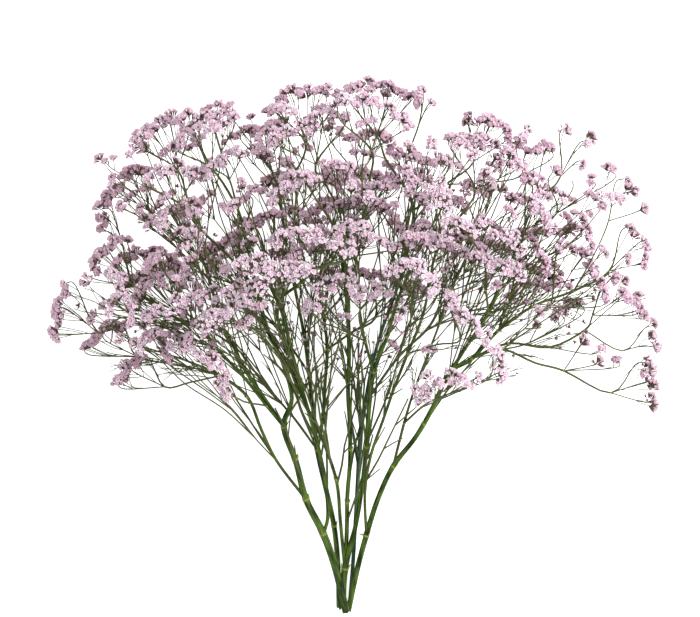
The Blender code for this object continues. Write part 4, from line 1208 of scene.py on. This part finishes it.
def dress_spray(florets, twigs, stalk, spots, facings, depth, draw):
    """A side spray's stalk, its pedicels and its heads."""
    thick = np.linspace(*SIDE_STALK_TAPER, len(stalk)) * SIDE_STALK_RADIUS
    add_branch(twigs, stalk, thick, steps=TWIG_STEPS)
    bases = spots - facings * BASE_DEPTH
    # Painted shade: the deeper a spray lies in the crown, the darker its heads.
    dusk = np.clip(SIDE_PAINTED_SHADE - 0.5 * depth + PAINTED_SHADE_WANDER * draw.normal(size=len(spots)), 0, 1)
    reaches = SIDE_REACH * draw.uniform(*SIDE_REACHES, len(spots))
    add_heads(florets, bases, facings, reaches, dusk, draw, SIDE_FLORETS)
    for base, way in zip(bases, facings):
        add_pedicel(twigs, stalk[-1], base, way)


# %% Bare side twigs
# Low in the crown most twigs are bare, or end in a few closed buds. Many short ones fork from any branch
# or stalk, and some long ones from the main branches near the bunch's middle. Each kind: how many, what
# it forks from, how far from the middle and on which stretch along the bunch it may fork, the shortest
# and longest, the least and greatest lean away from the branch, and the radius.
BARE_KINDS = (
    (440, ("run", "stalk"), 235.0, (222.0, 400.0), (26.0, 62.0), (0.25, 0.7), 0.55),
    (30, ("run",), 75.0, (105.0, 240.0), (85.0, 150.0), (0.2, 0.4), 1.05),
)
CROWN_FOOT = 235.0
BUNCH_SPREAD = 0.45
BARE_POINTS = 5
BARE_TAPER = (1.15, 0.75)
BARE_CURL = 0.25
BARE_WANDER = 0.02
SHOOTS = (0.4, 0.7)
SHOOT_LEAN = 0.5
SHOOT_SHARE = (0.2, 0.42)
SHOOT_BEND = 0.8
SHOOT_PROFILE = 0.8 * np.array([1.0, 0.9, 0.7])
BUDS_ALONG = (225.0, 340.0)
MOST_BUDS = 0.6
BUDS = (2, 5)
BUD_REACH = (2.4, 4.2)
BUD_DULLING_AND_PAINTED_SHADE = 0.9
BUD_OPENING = 0.6
print("bare twigs to grow:", sum(count for count, *_ in BARE_KINDS))


def dress_bare_twig(florets, twigs, place, heading, kind, draw):
    """A thin wavering twig from a place on a branch, with a short shoot at each of SHOOTS. Each end has a
    tiny head of buds, more often higher in the crown, or nothing. A twig that would stand out above the
    crown, or beside the stems below it, is left out."""
    *_, lengths, leans, radius = kind
    lean = unit(np.cross(heading, unit(draw.normal(size=3)))) * draw.uniform(*leans)
    way = unit(heading + lean)
    length = draw.uniform(*lengths)
    t = np.linspace(0.0, 1.0, BARE_POINTS)[:, None]
    path = place + length * (t * way - BARE_CURL * t**2 * lean)
    path += BARE_WANDER * length * t * draw.normal(size=(BARE_POINTS, 3))
    tip_x, tip_y = path[-1, :2]
    beside = tip_y < CROWN_FOOT and abs(tip_x) > BUNCH_SPREAD * tip_y
    if beside or path[:, 2].max() > SPRAY_TOP:
        return
    add_branch(twigs, path, radius * np.linspace(*BARE_TAPER, BARE_POINTS), steps=2)
    ends = [(path[-1], unit(path[-1] - path[-2]))]
    for share in SHOOTS:
        base = np.array([np.interp(share, t[:, 0], path[:, k]) for k in range(3)])
        side = unit(way + SHOOT_LEAN * unit(np.cross(way, unit(draw.normal(size=3)))))
        tip = base + length * draw.uniform(*SHOOT_SHARE) * side
        middle = 0.5 * (base + tip) - SHOOT_BEND * (side - way)
        add_branch(twigs, np.array([base, middle, tip]), radius * SHOOT_PROFILE, steps=2)
        ends.append((tip, side))
    for tip, side in ends:
        if tip[2] > BAND_REST_HEIGHT and draw.uniform() < np.interp(tip[1], BUDS_ALONG, (0.0, MOST_BUDS)):
            count = int(draw.integers(*BUDS))
            reach = draw.uniform(*BUD_REACH, 1)
            # Buds get a large share of painted shade: partly their duller closed colour, partly the shade
            # low in the crown.
            add_heads(florets, tip[None], side[None], reach, np.array([BUD_DULLING_AND_PAINTED_SHADE]), draw, count, BUD_OPENING)


def bare_twig_roots(plant, draw):
    """The plant's points that bare twigs leave from, as (point, kind)."""
    kinds = np.array(plant.kinds)
    across, along = np.array(plant.places)[:, :2].T
    roots = []
    for kind in BARE_KINDS:
        count, sources, within, (first, last), *_ = kind
        fit = np.isin(kinds, sources) & (np.abs(across) < within) & (along > first) & (along < last)
        roots += [(i, kind) for i in draw.choice(np.flatnonzero(fit), count)]
    return roots


# %% Grow the sprays
SIDE_SEED = 900
BARE_SEED = 901

heads_of_bands = [band_line(plant, name, HEADS_PER_TWIG)[0] for name in BANDS]
flowering = np.vstack([*heads_of_bands, [plant.places[tip] for tip in plant.sprays]])
side_sprays = grow_side_sprays(plant, flowering, np.random.default_rng(SIDE_SEED))
bare_roots = bare_twig_roots(plant, np.random.default_rng(BARE_SEED))
heads_of_sprays = sum(len(spray[2]) for spray in side_sprays)
print("places on the bands:", sum(map(len, heads_of_bands)), " side sprays:", len(side_sprays),
      " their heads:", heads_of_sprays)


# %% [markdown]
# ## Finishes
# A finish is a small sum: how young is this twig, is this the petal or the funnel, which way do the
# fibres run. Sums are easiest to read as Python expressions, so one class wraps a node's output and
# writes a Math node for each operator. Colours go through Mix nodes, because a Math node would turn them
# grey.


# %% Sums of node outputs
class Wire:
    """One output of a node. Sums and products of wires and numbers add Math nodes, so 0.5 + mask * 0.3 is a
    wire too."""

    def __init__(self, finish, socket):
        self.finish, self.socket = finish, socket

    def _math(self, operation, *values):
        return self.finish.node("ShaderNodeMath", {"operation": operation}, dict(enumerate(values)))

    def __add__(self, other):
        return self._math("ADD", self, other)

    def __radd__(self, other):
        return self._math("ADD", other, self)

    def __mul__(self, other):
        return self._math("MULTIPLY", self, other)

    def __rmul__(self, other):
        return self._math("MULTIPLY", other, self)

    def step(self, low, high):
        """0 below low, 1 above high, and a smooth rise between them."""
        return self.finish.node("ShaderNodeMapRange", {"interpolation_type": "SMOOTHSTEP"},
                                {"Value": self, "From Min": low, "From Max": high})


class Finish:
    """A material being written on its own Principled shader."""

    def __init__(self, name):
        self.material = bpy.data.materials.new(name)
        self.material.use_nodes = True
        self.tree = self.material.node_tree
        self.shader = self.tree.nodes["Principled BSDF"]

    def node(self, kind, settings=None, inputs=None, output=0):
        """Any node: its settings first, then the value or link of each input, by name or number."""
        made = self.tree.nodes.new(kind)
        for key, value in (settings or {}).items():
            setattr(made, key, value)
        for key, value in (inputs or {}).items():
            self.feed(made.inputs[key], value)
        return Wire(self, made.outputs[output])

    def feed(self, socket, value):
        if isinstance(value, Wire):
            self.tree.links.new(value.socket, socket)
        else:
            socket.default_value = value

    def attribute(self, name):
        return self.node("ShaderNodeAttribute", {"attribute_name": name}, output=2)

    def noise(self, vector, scale, detail=2.0):
        return self.node("ShaderNodeTexNoise", {}, {"Vector": vector, "Scale": scale, "Detail": detail})

    def mix(self, share, first, second, way="MIX"):
        """A colour between two others. Colours are (red, green, blue) or wires."""
        one, two = (c if isinstance(c, Wire) else (*c, 1.0) for c in (first, second))
        return self.node("ShaderNodeMix", {"data_type": "RGBA", "blend_type": way},
                         {0: share, 6: one, 7: two}, output=2)

    def wear(self, **inputs):
        for key, value in inputs.items():
            self.feed(self.shader.inputs[key.replace("_", " ")], value)
        return self.material


# %% The finish of the florets
# Petals are pale and papery with deeper throats, and funnels are brown going to olive at the root. Florets
# deep in the crown or at the edge of a head get painted shade: their colour is darkened towards a dull
# mauve.
PETAL_PALE = (0.86, 0.80, 0.845)
PETAL_DEEP = (0.86, 0.66, 0.77)
THROAT = (0.64, 0.37, 0.48)
FUNNEL_BROWN = (0.13, 0.06, 0.06)
FUNNEL_OLIVE = (0.105, 0.12, 0.045)
PAINTED_SHADE_COLOUR = (0.78, 0.69, 0.73)


def floret_finish(name):
    finish = Finish(name)
    place = finish.node("ShaderNodeTexCoord", output=3)
    bloom, heart, tint, dusk = (finish.attribute(n) for n in ("bloom", "heart", "tint", "dusk"))
    blotch = finish.noise(place, 900.0)
    crease = finish.noise(place, 2600.0, 3.0)
    # Painted shade also turns the petals from pale to deep pink.
    petal = finish.mix((tint * 0.6 + dusk * 0.45 + blotch * 0.4).step(0.15, 0.95), PETAL_PALE, PETAL_DEEP)
    petal = finish.mix((heart + crease * 0.3).step(0.35, 0.95), petal, THROAT)
    funnel = finish.mix((finish.noise(place, 300.0) + bloom).step(0.45, 0.9), FUNNEL_OLIVE, FUNNEL_BROWN)
    colour = finish.mix((bloom + crease * 0.2).step(0.5, 0.78), funnel, petal)
    # Painted shade: the colour is multiplied towards a dull mauve by the painted-shade value.
    colour = finish.mix(dusk * 0.8, colour, finish.mix(1.0, colour, PAINTED_SHADE_COLOUR, "MULTIPLY"))
    bump = finish.node("ShaderNodeBump", {}, {"Strength": 0.35, "Distance": 0.0003, "Height": crease})
    return finish.wear(Base_Color=colour, Roughness=0.62 + blotch * 0.25, Normal=bump)


# %% The finish of the stems
# Old stems are leaf green with fibres along them, whose dark streaks are near black: partly real streaks
# and partly painted shade. Twigs go to olive, collars and scales are straw green, and a cut end shows its
# pale pith.
TWIG_OLIVE = (0.108, 0.118, 0.046)
COLLAR_STRAW = (0.27, 0.31, 0.07)
CUT_PITH = (0.36, 0.40, 0.17)
LEAF_GREEN = (0.088, 0.155, 0.02)
LEAF_STREAK_AND_PAINTED_SHADE = (0.005, 0.015, 0.0015)
BLUISH_GREEN = (0.075, 0.15, 0.08)
BLUISH_STREAK_AND_PAINTED_SHADE = (0.014, 0.04, 0.02)
FIBRE_STRETCH = (2.6, 0.022, 1.0)


def stem_finish(name, green, streak_and_painted_shade):
    finish = Finish(name)
    place = finish.node("ShaderNodeTexCoord", output=3)
    lengthwise = finish.node("ShaderNodeTexCoord", output=2)
    collar, youth, cut = (finish.attribute(n) for n in ("collar", "youth", "cut"))
    stretched = finish.node("ShaderNodeMapping", {}, {"Vector": lengthwise, "Scale": FIBRE_STRETCH})
    fibres = finish.noise(stretched, 2.0, 4.0)
    blotch = finish.noise(place, 45.0, 3.0)
    fleck = finish.noise(place, 700.0)
    # Near-black fibre streaks: partly real streaks, partly painted shade.
    bark = finish.mix((fibres * 0.9 + blotch * 0.4).step(0.48, 0.8), streak_and_painted_shade, green)
    bark = finish.mix(youth.step(0.35, 1.0) * (0.55 + blotch * 0.5), bark, TWIG_OLIVE)
    bark = finish.mix((collar + fleck * 0.9).step(0.8, 1.6), bark, COLLAR_STRAW)
    bark = finish.mix(cut.step(0.2, 0.8), bark, CUT_PITH)
    bump = finish.node("ShaderNodeBump", {}, {"Strength": 0.4, "Distance": 0.0004, "Height": fibres})
    return finish.wear(Base_Color=bark, Roughness=0.5 + fibres * 0.2, Normal=bump, Specular_IOR_Level=0.15)


florets_pink = floret_finish("papery_pink_florets")
stem_green = stem_finish("leaf_green_stem", LEAF_GREEN, LEAF_STREAK_AND_PAINTED_SHADE)
stem_bluish = stem_finish("bluish_green_stem", BLUISH_GREEN, BLUISH_STREAK_AND_PAINTED_SHADE)
print("finishes:", [material.name for material in (florets_pink, stem_green, stem_bluish)])


# %% [markdown]
# ## Dressing the bunch
# Each stem is dressed in three pieces. Its branches, twigs and scales are one that stands for the stem's
# solid. The florets of all the bands that it carries are one that stands for those bands. The florets and
# buds of its small sprays and bare twigs are the third, which stands for the stem's solid too, because some
# of those sprays are fused in it.


# %% Make the pieces
DRESSING_SEED = 500
BLUISH_STEM = "stem_back_right"

for order, stem in enumerate(STEMS):
    draw = np.random.default_rng(DRESSING_SEED + order)
    twigs = stem_parts(plant, stem, draw)
    florets = Gathered("bloom", "heart", "tint", "dusk")
    own = [name for name, band in BANDS.items() if band[0] == stem]
    for name in own:
        dress_band(florets, twigs, plant, name, BANDS[name][1], BANDS[name][2], draw)
    finish = stem_bluish if stem == BLUISH_STEM else stem_green
    piece(stem.replace("stem", "florets"), florets, florets_pink, "pink_floret", False, *own)
    florets = Gathered("bloom", "heart", "tint", "dusk")
    for tip in plant.sprays:
        if plant.stems[tip] == stem:
            dress_sown_spray(florets, twigs, plant.places[plant.parents[tip]], plant.places[tip], draw)
    for owner, *spray in side_sprays:
        if owner == stem:
            dress_spray(florets, twigs, *spray, draw)
    for i, kind in bare_roots:
        if plant.stems[i] == stem:
            parent = plant.parents[i] if plant.parents[i] is not None else i
            root = plant.places[parent] + draw.uniform(0, 1) * (plant.places[i] - plant.places[parent])
            dress_bare_twig(florets, twigs, root, plant.heading(i), kind, draw)
    piece(stem.replace("stem", "sprays"), florets, florets_pink, "pink_floret", False, stem)
    piece(stem.replace("stem", "twigs"), twigs, finish, "green_stem", True, stem)


# %% [markdown]
# ## Table, light and camera
# The bunch lies on a bright table, and the camera looks straight down on it. A long lens keeps the near
# florets from looking larger than the far ones. A large soft lamp and an even sky of light leave no hard
# shadow.


# %% The table
# It gives off a little light of its own, so that it stays white where the bunch shades it.
TABLE_SIDE = 20.0
TABLE_GLOW = 0.8
TABLE_WHITES = ((0.86, 0.86, 0.86), (0.9, 0.9, 0.9))


def table_finish():
    finish = Finish("matt_white_table")
    place = finish.node("ShaderNodeTexCoord", output=3)
    grain = finish.noise(place, 40.0, 4.0)
    colour = finish.mix(grain, *TABLE_WHITES)
    return finish.wear(Base_Color=colour, Roughness=0.6, Emission_Color=(1.0, 1.0, 1.0, 1.0),
                       Emission_Strength=TABLE_GLOW)


edge = TABLE_SIDE / 2
table_corners = [(-edge, -edge, 0), (edge, -edge, 0), (edge, edge, 0), (-edge, edge, 0)]
table_mesh = bpy.data.meshes.new("table")
table_mesh.from_pydata(table_corners, [], [(0, 1, 2, 3)])
table_mesh.materials.append(table_finish())
table = bpy.data.objects.new("table", table_mesh)
bpy.context.scene.collection.objects.link(table)
print("table side in m:", TABLE_SIDE)


# %% Light and camera
# The picture is VIEW_WIDTH metres wide at VIEW_CENTRE, which the camera looks down on.
LAMP_PLACE = (3.2, 1.2, 3.9)
LAMP_SIZE = 2.5
LAMP_POWER = 215.0
SKY_STRENGTH = 0.735
CAMERA_DISTANCE = 9.0
VIEW_WIDTH = 0.700
VIEW_CENTRE = (-0.00705, 0.03845, 0.11)


def lamp(name, place, size, power):
    """A square soft lamp that looks at the bunch."""
    data = bpy.data.lights.new(name, "AREA")
    data.size = size
    data.energy = power
    made = bpy.data.objects.new(name, data)
    made.location = place
    made.rotation_euler = Vector(place).to_track_quat("Z", "Y").to_euler()
    bpy.context.scene.collection.objects.link(made)


lamp("key_lamp", LAMP_PLACE, LAMP_SIZE, LAMP_POWER)
world = bpy.data.worlds.new("studio")
world.use_nodes = True
sky = world.node_tree.nodes["Background"]
sky.inputs["Color"].default_value = (1.0, 1.0, 1.0, 1.0)
sky.inputs["Strength"].default_value = SKY_STRENGTH
bpy.context.scene.world = world

lens = bpy.data.cameras.new("camera")
lens.sensor_width = 36.0
lens.lens = lens.sensor_width * CAMERA_DISTANCE / VIEW_WIDTH
lens.clip_end = 100.0
camera = bpy.data.objects.new("camera", lens)
camera.location = (VIEW_CENTRE[0], VIEW_CENTRE[1], VIEW_CENTRE[2] + CAMERA_DISTANCE)
bpy.context.scene.collection.objects.link(camera)
bpy.context.scene.camera = camera
bpy.context.scene.view_settings.view_transform = "Standard"
print("camera at", tuple(round(x, 4) for x in camera.location), " lens in mm:", round(lens.lens, 1))
